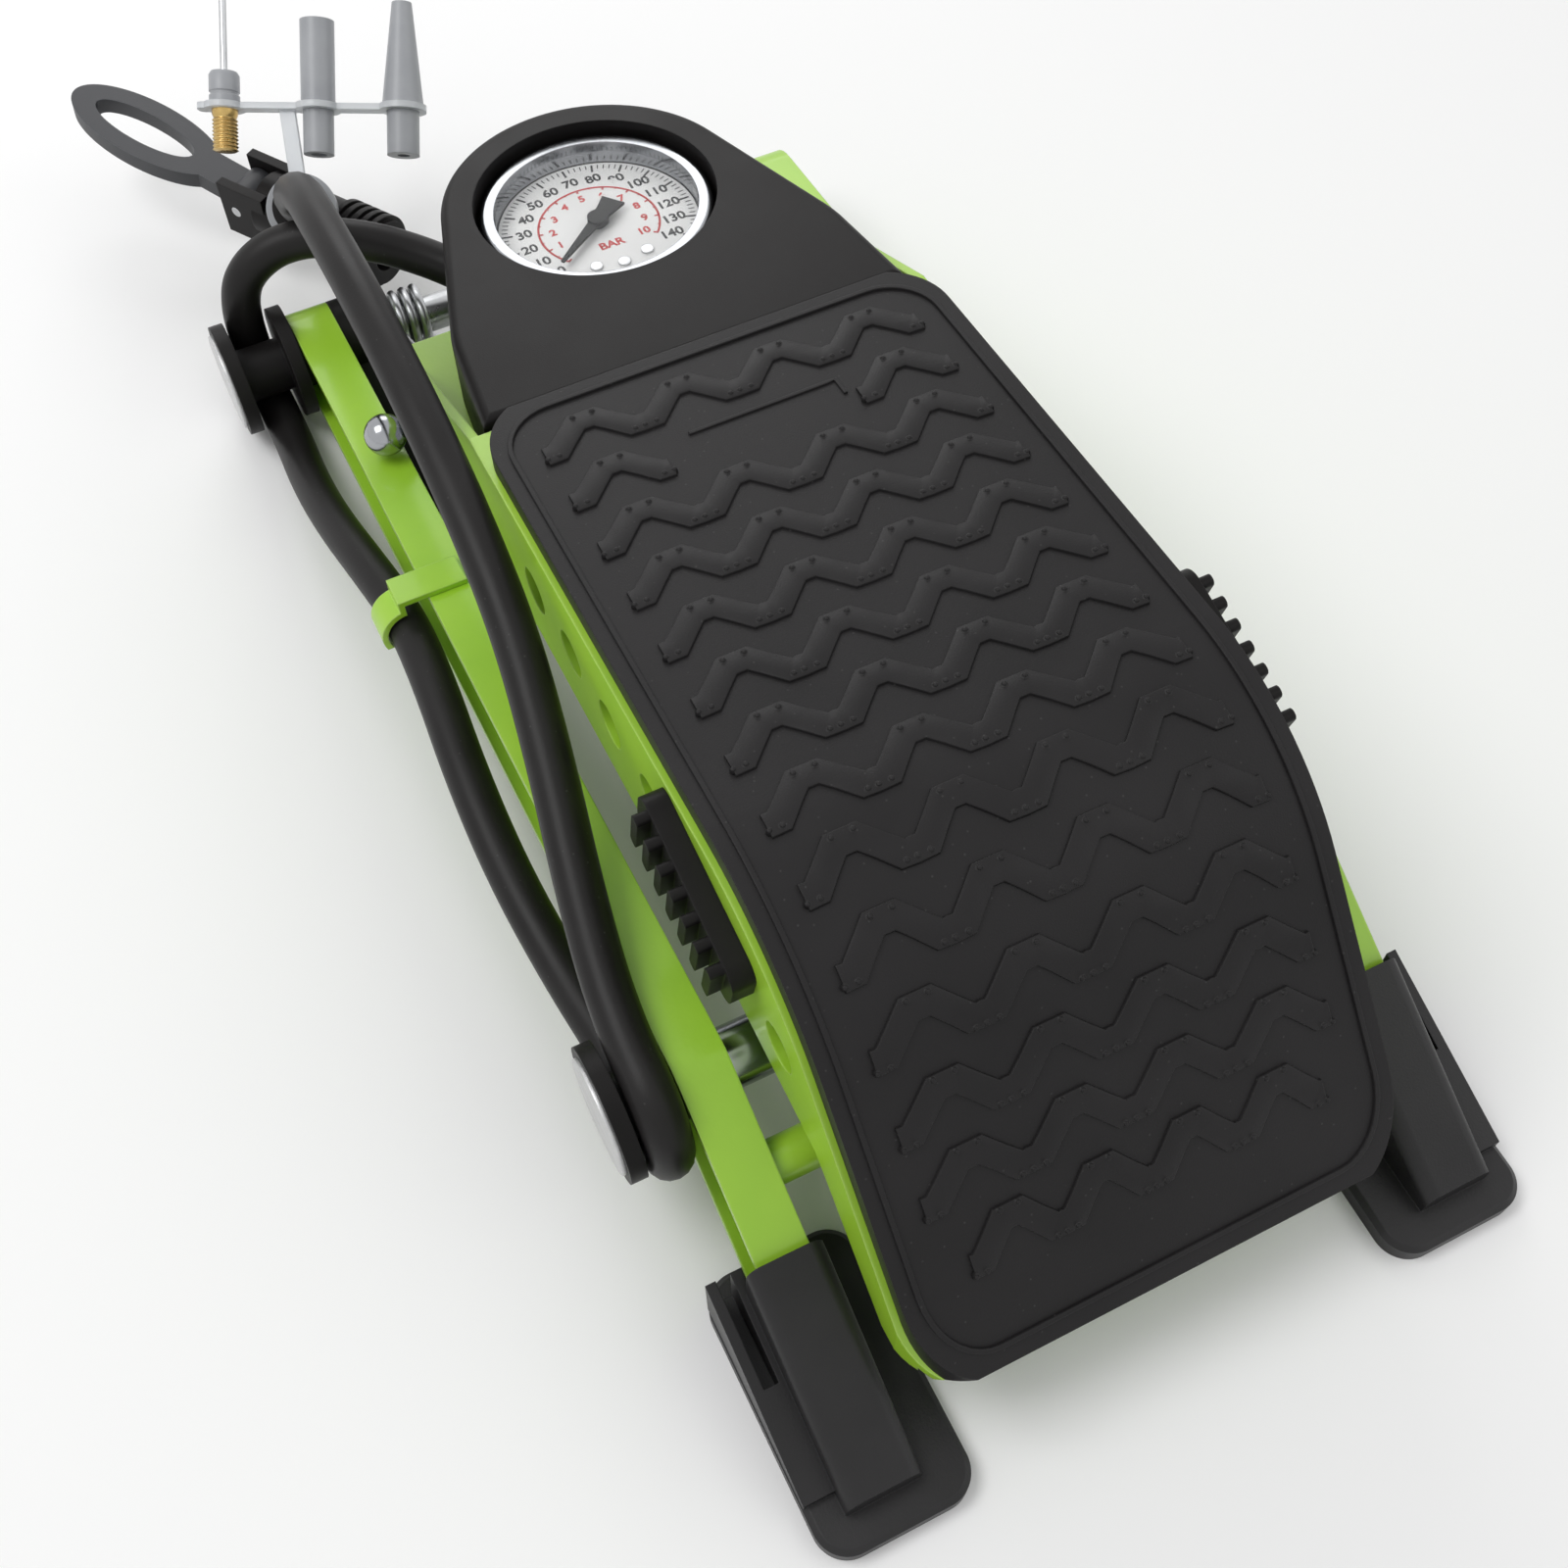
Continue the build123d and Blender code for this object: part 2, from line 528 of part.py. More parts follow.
def dial_screws():
    screws = []
    for angle in (-115, -90, -65):
        x, y = 13.0 * cos(radians(angle)), 13.0 * sin(radians(angle))
        screws.append(drum(1.3, DIAL_DEPTH - 0.5, DIAL_DEPTH, x=x, y=y))
    return screws


def gauge_movement():
    """Brass movement plate behind the dial, with the pointer's spindle post and feet down to the case's back."""
    plate = GAUGE * Pos(0, 0, -DIAL_DEPTH - 5) * Box(18, 12, 1.6)
    post = drum(2.4, DIAL_DEPTH + 0.8, DIAL_DEPTH + 4.2, 1.0)
    socket = drum(STEM_R - 1.6, DIAL_DEPTH + 5.8, CASE_DEPTH + BEZEL_HEIGHT)
    return plate + post + socket - drum(1.0, 0, DIAL_DEPTH + 8)


def bourdon_tube():
    """Flat curved tube that the pressure straightens, soldered into the movement's socket."""
    depth = DIAL_DEPTH + 10.5
    arc = CenterArc((0, 0), 14.5, -60, 270)
    inlet = STEM_R - 1.4
    tail = Line(arc @ 0, (inlet * cos(radians(-60)), inlet * sin(radians(-60))))
    coil = trace(arc, 1.8) + trace(tail, 1.8)
    return GAUGE * Pos(0, 0, -depth) * extrude(coil, 4.0)


def gauge_stem():
    """Brass stem screwed into the case's back, with a barb for the hose on its left rear side."""
    top = CASE_DEPTH + BEZEL_HEIGHT
    return drum(STEM_R + 2, top, top + STEM_LENGTH) + stem_barb()


BARB_LEVEL = CASE_DEPTH + BEZEL_HEIGHT + 7.5
BARB_LENGTH = 16.0
BARB_HEADING = 130.0
BARB_PLANE = Plane(
    origin=GAUGE.from_local_coords((0, 0, -BARB_LEVEL)),
    x_dir=(0, 0, 1), z_dir=(cos(radians(BARB_HEADING)), sin(radians(BARB_HEADING)), 0))


def stem_barb():
    return BARB_PLANE * extrude(Circle(2.6), BARB_LENGTH)


POINTER_AIM = 128.0       # degrees counter-clockwise from the dial's top, at zero pressure
POINTER_THICK = 0.5


def pointer():
    """Gauge pointer: hub, tapering hand and wedge counterweight on a short spindle."""
    depth = (DIAL_DEPTH + LENS_DEPTH + LENS_THICK) / 2
    blade = Polygon((1.3, 0), (0.35, 14.5), (-0.35, 14.5), (-1.3, 0), (-2.6, -6.4), (2.6, -6.4), align=None)
    body = GAUGE * Rot(0, 0, POINTER_AIM) * Pos(0, 0, -depth) * extrude(blade, POINTER_THICK, dir=(0, 0, 1))
    hub = drum(2.2, depth - 0.9, depth + 0.4)
    return body + hub + drum(0.94, depth + 0.2, DIAL_DEPTH + 6.5)


# --- storage lock -------------------------------------------------------------------------------------
LOCK_FACE = -FLANGE_OUTER
LOCK_BRACKET_DEPTH = 3.6


def lock_bracket():
    """Small U of plated strip riveted on the left flange, which guides the lock pin."""
    outer = slab(Pos(*LOCK_PIN) * RectangleRounded(14, 8, 2), LOCK_FACE - LOCK_BRACKET_DEPTH, LOCK_FACE)
    room = Pos(LOCK_FACE, *LOCK_PIN) * Box(2 * (LOCK_BRACKET_DEPTH - 0.9), 9, 20)
    return outer - room - round_x(LOCK_PIN, LOCK_PIN_R + RUN_GAP, -70, -40)


def lock_pin():
    """Pull pin with a ball knob, which goes through the flange and points at the hole in the base's lock tab."""
    tip = -(DECK_HALF - SIDE_GAP) - LOCK_SHY
    ball_x = LOCK_FACE - LOCK_BRACKET_DEPTH - LOCK_BALL_R - 0.3
    pin = round_x(LOCK_PIN, LOCK_PIN_R, ball_x, tip)
    return pin + Pos(ball_x, *LOCK_PIN) * Sphere(LOCK_BALL_R)


def torsion_spring():
    """Pair of coils round the rear axle, with an arm on the crossbar and an arm under the pedal's bridge."""
    coils = []
    for side in (-1, 1):
        start = side * 30.0
        body = ring_x(REAR_AXLE, SPRING_R + SPRING_WIRE_R, SPRING_R - SPRING_WIRE_R, start,
                      start + side * SPRING_PITCH * SPRING_TURNS)
        low_y, low_z = CROSSBAR_Y, CROSSBAR_Z + CROSSBAR_THICK + SPRING_WIRE_R + 0.05
        arm = spring_arm(start + side * 1.2, (REAR_AXLE[0], REAR_AXLE[1] - SPRING_R), (low_y, low_z))
        tall = spring_arm(start + side * (SPRING_PITCH * SPRING_TURNS - 1.2), (REAR_AXLE[0] , REAR_AXLE[1] + SPRING_R),
                          (BRIDGE_REAR - 4, BRIDGE_TOP - PLATE_WALL - SPRING_WIRE_R - 0.1))
        coils.append(body + arm + tall)
    return coils


def spring_arm(x, start, end):
    origin = Vector(x, *start)
    reach = Vector(x, *end) - origin
    return Plane(origin=origin, z_dir=reach) * extrude(Circle(SPRING_WIRE_R), reach.length)


# --- barrel and rod -----------------------------------------------------------------------------------
STROKE_LENGTH = hypot(FRONT_AXLE[0] - BARREL_PIN[0], FRONT_AXLE[1] - BARREL_PIN[1])
BORE = Plane(origin=(0, *BARREL_PIN), x_dir=(1, 0, 0),
             z_dir=(0, FRONT_AXLE[0] - BARREL_PIN[0], FRONT_AXLE[1] - BARREL_PIN[1]))


def along_bore(radius, start, end, bore=0.0):
    sketch = Circle(radius) - Circle(bore) if bore else Circle(radius)
    return BORE * Pos(0, 0, start) * extrude(sketch, end - start)


def barrel_tube():
    return along_bore(BARREL_R, BARREL_START, BARREL_END, BARREL_R - BARREL_WALL)


def barrel_head():
    """Head plug with the lug that hangs on the barrel pin; the lug's bore is wide on purpose."""
    inside = BARREL_R - BARREL_WALL
    plug = along_bore(inside, BARREL_START, BARREL_START + HEAD_PLUG)
    flange = along_bore(BARREL_R, BARREL_START - HEAD_FLANGE, BARREL_START)
    lug = BORE * (Rot(0, 90, 0) * Cylinder(HEAD_LUG_R, HEAD_LUG_WIDTH)
                  + Pos(0, 0, BARREL_START / 2) * Box(HEAD_LUG_WIDTH, 2 * HEAD_LUG_R - 2, BARREL_START - 1))
    hole = BORE * Rot(0, 90, 0) * Cylinder(BARREL_PIN_R + OPEN_PIVOT_GAP, HEAD_LUG_WIDTH + 2)
    body = plug + flange + lug - hole
    port = BORE * Pos(OUTLET_X, 0, BARREL_START - 5) * extrude(Circle(1.6), HEAD_PLUG + 10)
    return body - port


OUTLET_X = 11.8
NIPPLE_LENGTH = 2.5


def outlet_nipple():
    """Brass outlet beside the lug, on the head's rear face."""
    return BORE * Pos(OUTLET_X, 0, BARREL_START - HEAD_FLANGE - NIPPLE_LENGTH) * extrude(
        Circle(2.4) - Circle(1.4), NIPPLE_LENGTH)


def barrel_cap():
    """Screwed end cap that guides the rod."""
    end = BARREL_END + CAP_LENGTH
    cap = along_bore(CAP_R, BARREL_END - 5, end, BARREL_R + 0.05) + along_bore(CAP_R, BARREL_END, end)
    return cap - along_bore(ROD_R + RUN_GAP, BARREL_END - 10, end + 5)


def piston_rod():
    rod = along_bore(ROD_R, PISTON_START - 3.5, STROKE_LENGTH)
    return rod - round_x(FRONT_AXLE, SLEEVE_R, -20, 20)


def rod_sleeve():
    """Plated tube welded across the rod's end, which turns on the front axle."""
    return ring_x(FRONT_AXLE, SLEEVE_R, FRONT_AXLE_R + RUN_GAP, -LEG_INNER + SIDE_GAP, LEG_INNER - SIDE_GAP)


def piston():
    return along_bore(BARREL_R - BARREL_WALL - 0.6, PISTON_START + CUP_LENGTH, PISTON_START + PISTON_LENGTH, ROD_R)


def cup_seal():
    return along_bore(BARREL_R - BARREL_WALL - 0.08, PISTON_START, PISTON_START + CUP_LENGTH, ROD_R)


def piston_nut():
    hexagon = RegularPolygon(6, 6) - Circle(ROD_R)
    return BORE * Pos(0, 0, PISTON_START - 3) * extrude(hexagon, 3)


# --- hose ---------------------------------------------------------------------------------------------
LEAD_END = (REAR_HOSE_X, REAR_AXLE[0] + HOSE_TURN_R, REAR_AXLE[1] + 2.0)
FRONT_TURN_Y = FRONT_AXLE[0] - HOSE_TURN_R


def hose_lead():
    """Hose from the gauge's barb to the back of the rear spool."""
    return hose_along(route([
        tuple(BARB_PLANE.from_local_coords((0, 0, BARB_LENGTH))),
        tuple(BARB_PLANE.from_local_coords((0, 0, BARB_LENGTH + 13))),
        (-29.0, 32.0, 34.0), (-42.0, 39.5, 38.6), (-55.5, 44.4, 39.4), (-65.6, 45.8, 33.6),
        (REAR_HOSE_X, LEAD_END[1], REAR_AXLE[1] + 10.0), LEAD_END]))


HOSE_POINTS = [
    LEAD_END,
    (REAR_HOSE_X, REAR_AXLE[0] + HOSE_TURN_R, REAR_AXLE[1] - HOSE_TURN_R),
    (-69.2, 22.0, 5.6), (-70.2, 4.0, 10.0), (-69.8, -14.0, 15.5), (-68.0, -32.0, 20.8),
    HOSE_CLIP_AT, (-66.6, -68.0, 25.4), (-68.6, -90.0, 24.6), (-69.2, -112.0, 22.4), (-67.8, -134.0, 20.6),
    (FRONT_HOSE_X, -153.0, FRONT_AXLE[1] - HOSE_TURN_R),
    (FRONT_HOSE_X, FRONT_TURN_Y, FRONT_AXLE[1] - HOSE_TURN_R),
    (FRONT_HOSE_X, FRONT_TURN_Y, FRONT_AXLE[1] + HOSE_TURN_R),
    (-65.3, -154.0, 41.6), (-62.2, -134.0, 45.8), (-57.6, -112.0, 52.4), (-54.0, -90.0, 59.2),
    (-52.8, -68.0, 65.2), (-52.4, -46.0, 69.2), (-52.3, -24.0, 71.0), (-52.4, -3.0, 70.6),
    (-52.2, 17.0, 67.0), (-51.2, 34.0, 59.0),
]


# --- chuck --------------------------------------------------------------------------------------------
CHUCK = Plane(origin=CHUCK_MOUTH, x_dir=(0, 0, 1),
              z_dir=(cos(radians(CHUCK_HEADING)), sin(radians(CHUCK_HEADING)), 0))
TAIL_BASE = CHUCK.from_local_coords((0, 0, COLLAR_AT))
TAIL_DIR = Vector(-0.18, -0.62, 0.76).normalized()
TAIL_LENGTH = 18.5
TAIL_R = 5.6
HOSE_END = TAIL_BASE + TAIL_DIR * TAIL_LENGTH
HOSE_APPROACH = HOSE_END + TAIL_DIR * 15.0
COLLAR_AT_TAIL = 12.6
COLLAR_WIDTH = 3.0
TAIL = Plane(origin=TAIL_BASE, x_dir=(1, 0, 0), z_dir=TAIL_DIR)


def hose():
    """The rest of the hose: under the rear spool, through the clip, round the front spool and back to the chuck."""
    tight = HOSE_TURN_R - 0.1
    last = HOSE_POINTS.index((REAR_HOSE_X, REAR_AXLE[0] + HOSE_TURN_R, REAR_AXLE[1] - HOSE_TURN_R))
    turns = {last: tight}
    for i, point in enumerate(HOSE_POINTS):
        if point[1] == FRONT_TURN_Y:
            turns[i] = tight
    return hose_along(route([*HOSE_POINTS, tuple(HOSE_APPROACH), tuple(HOSE_END)], turns))


def chuck_body():
    """Chuck body with a socket for the valve, a ribbed nose, ears for the lever and a tail for the hose."""
    body = CHUCK * extrude(Circle(CHUCK_R), CHUCK_LENGTH - 8.6)
    for i in range(5):
        body += CHUCK * Pos(0, 0, 1.2 + 2.4 * i) * extrude(Circle(CHUCK_R + 1.0), 1.3)
    tail = TAIL * extrude(Circle(TAIL_R), TAIL_LENGTH)
    flare = TAIL * Pos(0, 0, TAIL_LENGTH - 2.6) * extrude(Circle(TAIL_R + 0.6), 1.6)
    ear = Box(2 * CHUCK_R - 1, 2.4, 13)
    ears = CHUCK * Pos(0, 5.6, CHUCK_LENGTH - 6) * ear + CHUCK * Pos(0, -5.6, CHUCK_LENGTH - 6) * ear
    bore = CHUCK * extrude(Circle(CHUCK_BORE_R), CHUCK_BORE_DEPTH)
    bore += CHUCK * Pos(0, 0, CHUCK_BORE_DEPTH) * extrude(Circle(GASKET_R), GASKET_LENGTH)
    pin = CHUCK * Pos(0, 0, CHUCK_LENGTH - 3.4) * Rot(90, 0, 0) * Cylinder(LEVER_PIN_R, 20)
    return body + tail + flare + ears - bore - pin


def chuck_gasket():
    return CHUCK * Pos(0, 0, CHUCK_BORE_DEPTH) * extrude(Circle(GASKET_R) - Circle(2.6), GASKET_LENGTH)


def lever_pin():
    return CHUCK * Pos(0, 0, CHUCK_LENGTH - 3.4) * Rot(90, 0, 0) * Cylinder(LEVER_PIN_R, 13.6)


LEVER_RISE = 8.0          # degrees above the chuck's axis when closed


def chuck_lever():
    """Thumb lever: a cam between the ears and a flat handle with an oval loop."""
    cam = Rot(90, 0, 0) * Cylinder(4.6, 8.2)
    grip = Pos(0, LEVER_LENGTH / 2 + 6) * Ellipse(LEVER_WIDTH / 2, LEVER_LENGTH / 2 - 4)
    neck = Pos(0, 11) * Rectangle(8.2, 18)
    loop = Pos(0, LEVER_LENGTH / 2 + 6.5) * Ellipse(LEVER_WIDTH / 2 - 4.2, LEVER_LENGTH / 2 - 11)
    handle = Plane(origin=(-LEVER_THICK / 2, 0, 0), x_dir=(0, 1, 0), z_dir=(1, 0, 0)) * (grip + neck - loop)
    handle = extrude(handle, LEVER_THICK, dir=(1, 0, 0))
    bore = Rot(90, 0, 0) * Cylinder(LEVER_PIN_R + RUN_GAP, 20)
    lever = (cam + handle) - bore
    return CHUCK * Pos(0, 0, CHUCK_LENGTH - 3.4) * Rot(0, LEVER_RISE, 0) * lever


def hose_collar():
    """Ring of the accessory strap, round the chuck's tail."""
    return TAIL * Pos(0, 0, COLLAR_AT_TAIL) * extrude(Circle(TAIL_R + 2.2) - Circle(TAIL_R + 0.05), COLLAR_WIDTH)


STRAP_RISE = Vector(0.22, 0.62, 0.5)
BAR_HALF = 21.0
ACCESSORY_AXIS = Vector(0.36, 0.70, 0.62).normalized()
BAR_AXIS = ACCESSORY_AXIS.cross(Vector(0, 0, 1)).normalized()
STRAP_THICK = 1.4
STRAP_REACH = 22.0
NOZZLE_FOOT = 9.5
STRAIGHT_LENGTH = 18.0
STRAIGHT_R = 3.8
CONE_LENGTH = 22.0
CONE_TAPER = 6.2


def strap_frame(along):
    """Place on the strap's bar, looking out along the accessories."""
    start = TAIL.from_local_coords((0, 0, COLLAR_AT_TAIL))
    middle = start + STRAP_RISE.normalized() * STRAP_REACH + BAR_AXIS * 4.0
    return Plane(origin=middle + BAR_AXIS * along, x_dir=BAR_AXIS, z_dir=ACCESSORY_AXIS)


ACCESSORY_PLACES = {"needle": -19.0, "straight": 2.0, "cone": 21.0}
ACCESSORY_BORES = {"needle": 2.9, "straight": 3.4, "cone": 3.6}


def accessory_strap():
    """Soft T-shaped strap: a stem from the collar and a bar with three holes."""
    start = TAIL.from_local_coords((0, 0, COLLAR_AT_TAIL + COLLAR_WIDTH / 2))
    bar_plane = strap_frame(0)
    bar = bar_plane * extrude(RectangleRounded(2 * BAR_HALF + 8, 4.2, 1.5), STRAP_THICK)
    for name, along in ACCESSORY_PLACES.items():
        boss = strap_frame(along) * extrude(Circle(ACCESSORY_BORES[name] + 1.6), STRAP_THICK)
        bar += boss
    for name, along in ACCESSORY_PLACES.items():
        bar -= strap_frame(along) * Pos(0, 0, -2) * extrude(Circle(ACCESSORY_BORES[name] + 0.05), 6)
    root = strap_frame(-5.0).from_local_coords((0, 0, STRAP_THICK / 2))
    reach = root - start
    stem = Plane(origin=start, x_dir=BAR_AXIS, z_dir=reach) * extrude(Rectangle(3.4, 1.4), reach.length)
    return bar + (stem - TAIL * extrude(Circle(TAIL_R + 2.2), 20))


def ball_needle():
    """Needle for balls: a thin tube in a plastic cap with a brass threaded foot."""
    place = strap_frame(ACCESSORY_PLACES["needle"])
    needle = place * Pos(0, 0, 8) * extrude(Circle(0.8), 30)
    foot = place * Pos(0, 0, -9) * extrude(Circle(2.9), 9 + 1)
    return needle + foot + place * Pos(0, 0, 0.9) * extrude(Circle(2.9), 1) + needle_cap()


def needle_cap():
    place = strap_frame(ACCESSORY_PLACES["needle"])
    return place * Pos(0, 0, STRAP_THICK) * extrude(Circle(3.4), 7)


def straight_nozzle():
    place = strap_frame(ACCESSORY_PLACES["straight"])
    body = place * Pos(0, 0, STRAP_THICK) * extrude(Circle(STRAIGHT_R), STRAIGHT_LENGTH)
    body += place * Pos(0, 0, -NOZZLE_FOOT) * extrude(Circle(ACCESSORY_BORES["straight"]), NOZZLE_FOOT + STRAP_THICK)
    return body - place * Pos(0, 0, -20) * extrude(Circle(1.8), 60)


def cone_nozzle():
    place = strap_frame(ACCESSORY_PLACES["cone"])
    body = place * Pos(0, 0, STRAP_THICK) * extrude(Circle(4.6), CONE_LENGTH, taper=CONE_TAPER)
    body += place * Pos(0, 0, -NOZZLE_FOOT) * extrude(Circle(ACCESSORY_BORES["cone"]), NOZZLE_FOOT + STRAP_THICK)
    return body - place * Pos(0, 0, -20) * extrude(Circle(1.4), 60)


# --- assembly -----------------------------------------------------------------------------------------
left_leg = leg()
save("left_leg", left_leg)
save("right_leg", mirror(left_leg, about=Plane.YZ))
left_foot = front_foot()
save("left_front_foot", left_foot)
save("right_front_foot", mirror(left_foot, about=Plane.YZ))
save("rear_foot", rear_foot())
save("rear_crossbar", crossbar())
save("front_cross_tube", cross_tube())
save("rear_axle", rear_axle())
save("front_axle", front_axle())
save("axle_nuts", *axle_nuts())
save("axle_washers", *axle_washers())
save("rear_hose_spool", spool(REAR_AXLE, REAR_AXLE_R, SPOOL_GAP, True))
save("front_hose_spool", spool(FRONT_AXLE, FRONT_AXLE_R, FRONT_SPOOL_GAP, False))
save("spool_caps", *spool_caps())
save("hose_clip", hose_clip())
save("torsion_spring", *torsion_spring())

save("pedal_frame", pedal_frame())
save("tread_mat", tread_mat())
left_grip = side_grip()
save("left_side_grip", left_grip)
save("right_side_grip", mirror(left_grip, about=Plane.YZ))
save("barrel_pin", barrel_pin())
save("gauge_housing", gauge_housing())
save("gauge_case", gauge_case())
save("gauge_bezel", gauge_bezel())
save("gauge_dial", gauge_dial())
save("gauge_lens", gauge_lens())
save("dial_screws", *dial_screws())
save("gauge_movement", gauge_movement())
save("bourdon_tube", bourdon_tube())
save("gauge_stem", gauge_stem())
save("gauge_pointer", pointer())
save("lock_bracket", lock_bracket())
save("lock_pin", lock_pin())

save("barrel_tube", barrel_tube())
save("barrel_head", barrel_head())
save("outlet_nipple", outlet_nipple())
save("barrel_cap", barrel_cap())
save("piston_rod", piston_rod())
save("rod_sleeve", rod_sleeve())
save("piston", piston())
save("cup_seal", cup_seal())
save("piston_nut", piston_nut())

save("hose_lead", hose_lead())
save("hose", hose())
save("chuck_body", chuck_body())
save("chuck_gasket", chuck_gasket())
save("lever_pin", lever_pin())
save("chuck_lever", chuck_lever())
save("hose_collar", hose_collar())
save("accessory_strap", accessory_strap())
save("ball_needle", ball_needle())
save("straight_nozzle", straight_nozzle())
save("cone_nozzle", cone_nozzle())
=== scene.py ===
import json
from math import cos, pi, radians, sin

import bmesh
import bpy
from mathutils import Matrix, Vector


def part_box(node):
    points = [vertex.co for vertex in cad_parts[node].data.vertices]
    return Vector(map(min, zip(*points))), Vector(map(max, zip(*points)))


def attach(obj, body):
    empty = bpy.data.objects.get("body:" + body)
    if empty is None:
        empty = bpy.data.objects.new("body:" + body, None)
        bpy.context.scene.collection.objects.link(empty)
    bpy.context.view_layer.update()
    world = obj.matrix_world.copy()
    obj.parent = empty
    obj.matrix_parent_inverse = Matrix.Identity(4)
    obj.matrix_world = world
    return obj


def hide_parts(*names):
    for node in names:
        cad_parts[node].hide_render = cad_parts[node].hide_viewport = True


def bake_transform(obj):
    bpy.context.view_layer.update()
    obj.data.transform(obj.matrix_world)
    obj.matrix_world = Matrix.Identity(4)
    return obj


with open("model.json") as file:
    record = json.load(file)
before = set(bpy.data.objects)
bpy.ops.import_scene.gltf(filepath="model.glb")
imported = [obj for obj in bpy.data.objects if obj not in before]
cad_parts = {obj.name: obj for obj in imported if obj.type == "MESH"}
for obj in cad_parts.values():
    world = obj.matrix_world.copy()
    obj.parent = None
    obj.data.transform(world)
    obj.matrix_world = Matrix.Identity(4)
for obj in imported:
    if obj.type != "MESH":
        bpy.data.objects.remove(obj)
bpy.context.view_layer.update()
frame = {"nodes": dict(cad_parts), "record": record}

NODES = frame["nodes"]
RECORD = frame["record"]
JOINTS = {joint["name"]: joint for joint in RECORD["behaviour"]["joints"]}
MM = 0.001

# Routes and small parts are given in millimetres from the pump's own zero: its plane of symmetry, the floor,
# and the gauge's centre line.  The pedal's hinge stands at (0, 35, 15) there.
ZERO = Vector(JOINTS["pedal_hinge"]["pos_m"]) - Vector((0, 35, 15)) * MM


def at(x, y, z):
    return ZERO + Vector((x, y, z)) * MM


# --- camera, light and floor --------------------------------------------------------------------------
CAMERA_AZIMUTH, CAMERA_ELEVATION = -26.4, 58.6
CAMERA_DISTANCE = 0.3412
CAMERA_TARGET = Vector((-0.01303, -0.02336, 0.0282))


def make_camera():
    data = bpy.data.cameras.new("camera")
    data.lens = 42.75
    data.sensor_width = 36.0
    data.clip_start = 0.01
    camera = bpy.data.objects.new("camera", data)
    a, e = radians(CAMERA_AZIMUTH), radians(CAMERA_ELEVATION)
    back = Vector((sin(a) * cos(e), -cos(a) * cos(e), sin(e)))
    camera.location = CAMERA_TARGET + back * CAMERA_DISTANCE
    camera.rotation_euler = back.to_track_quat("Z", "Y").to_euler()
    bpy.context.collection.objects.link(camera)
    bpy.context.scene.camera = camera


def area_light(name, place, power, size):
    data = bpy.data.lights.new(name, "AREA")
    data.energy = power
    data.size = size
    lamp = bpy.data.objects.new(name, data)
    lamp.location = place
    lamp.rotation_euler = (Vector(place) - Vector((0, 0, 0.03))).to_track_quat("Z", "Y").to_euler()
    bpy.context.collection.objects.link(lamp)


def make_studio():
    area_light("key", (-0.45, 0.15, 0.80), 3.0, 0.45)
    area_light("fill", (0.60, -0.30, 0.55), 0.9, 0.6)
    area_light("rim", (0.15, 0.75, 0.45), 1.3, 0.4)
    world = bpy.data.worlds.new("studio")
    world.use_nodes = True
    tree = world.node_tree
    background = tree.nodes["Background"]
    background.inputs["Color"].default_value = (1, 1, 1, 1)
    rays = tree.nodes.new("ShaderNodeLightPath")
    seen = tree.nodes.new("ShaderNodeMapRange")
    seen.inputs["To Min"].default_value = 0.60
    seen.inputs["To Max"].default_value = 0.95
    either = tree.nodes.new("ShaderNodeMath")
    either.operation = "MAXIMUM"
    tree.links.new(rays.outputs["Is Camera Ray"], either.inputs[0])
    tree.links.new(rays.outputs["Is Glossy Ray"], either.inputs[1])
    tree.links.new(either.outputs["Value"], seen.inputs["Value"])
    tree.links.new(seen.outputs["Result"], background.inputs["Strength"])
    bpy.context.scene.world = world
    bpy.context.scene.view_settings.view_transform = "Standard"

    bpy.ops.mesh.primitive_plane_add(size=8.0)
    floor = bpy.context.object
    floor.name = "floor"
    paint = bpy.data.materials.new("floor")
    paint.use_nodes = True
    shader = paint.node_tree.nodes["Principled BSDF"]
    shader.inputs["Base Color"].default_value = (0.93, 0.93, 0.93, 1)
    shader.inputs["Roughness"].default_value = 0.9
    floor.data.materials.append(paint)
    # far from the pump the floor fades to the backdrop's white, for the camera only
    tree = paint.node_tree
    coords = tree.nodes.new("ShaderNodeTexCoord")
    reach = tree.nodes.new("ShaderNodeVectorMath")
    reach.operation = "LENGTH"
    fade = tree.nodes.new("ShaderNodeMapRange")
    fade.inputs["From Min"].default_value = 0.30
    fade.inputs["From Max"].default_value = 1.10
    rays = tree.nodes.new("ShaderNodeLightPath")
    both = tree.nodes.new("ShaderNodeMath")
    both.operation = "MULTIPLY"
    white = tree.nodes.new("ShaderNodeEmission")
    white.inputs["Color"].default_value = (0.95, 0.95, 0.95, 1)
    mix = tree.nodes.new("ShaderNodeMixShader")
    tree.links.new(coords.outputs["Object"], reach.inputs[0])
    tree.links.new(reach.outputs["Value"], fade.inputs["Value"])
    tree.links.new(fade.outputs["Result"], both.inputs[0])
    tree.links.new(rays.outputs["Is Camera Ray"], both.inputs[1])
    tree.links.new(both.outputs["Value"], mix.inputs["Fac"])
    tree.links.new(shader.outputs["BSDF"], mix.inputs[1])
    tree.links.new(white.outputs["Emission"], mix.inputs[2])
    tree.links.new(mix.outputs["Shader"], tree.nodes["Material Output"].inputs["Surface"])


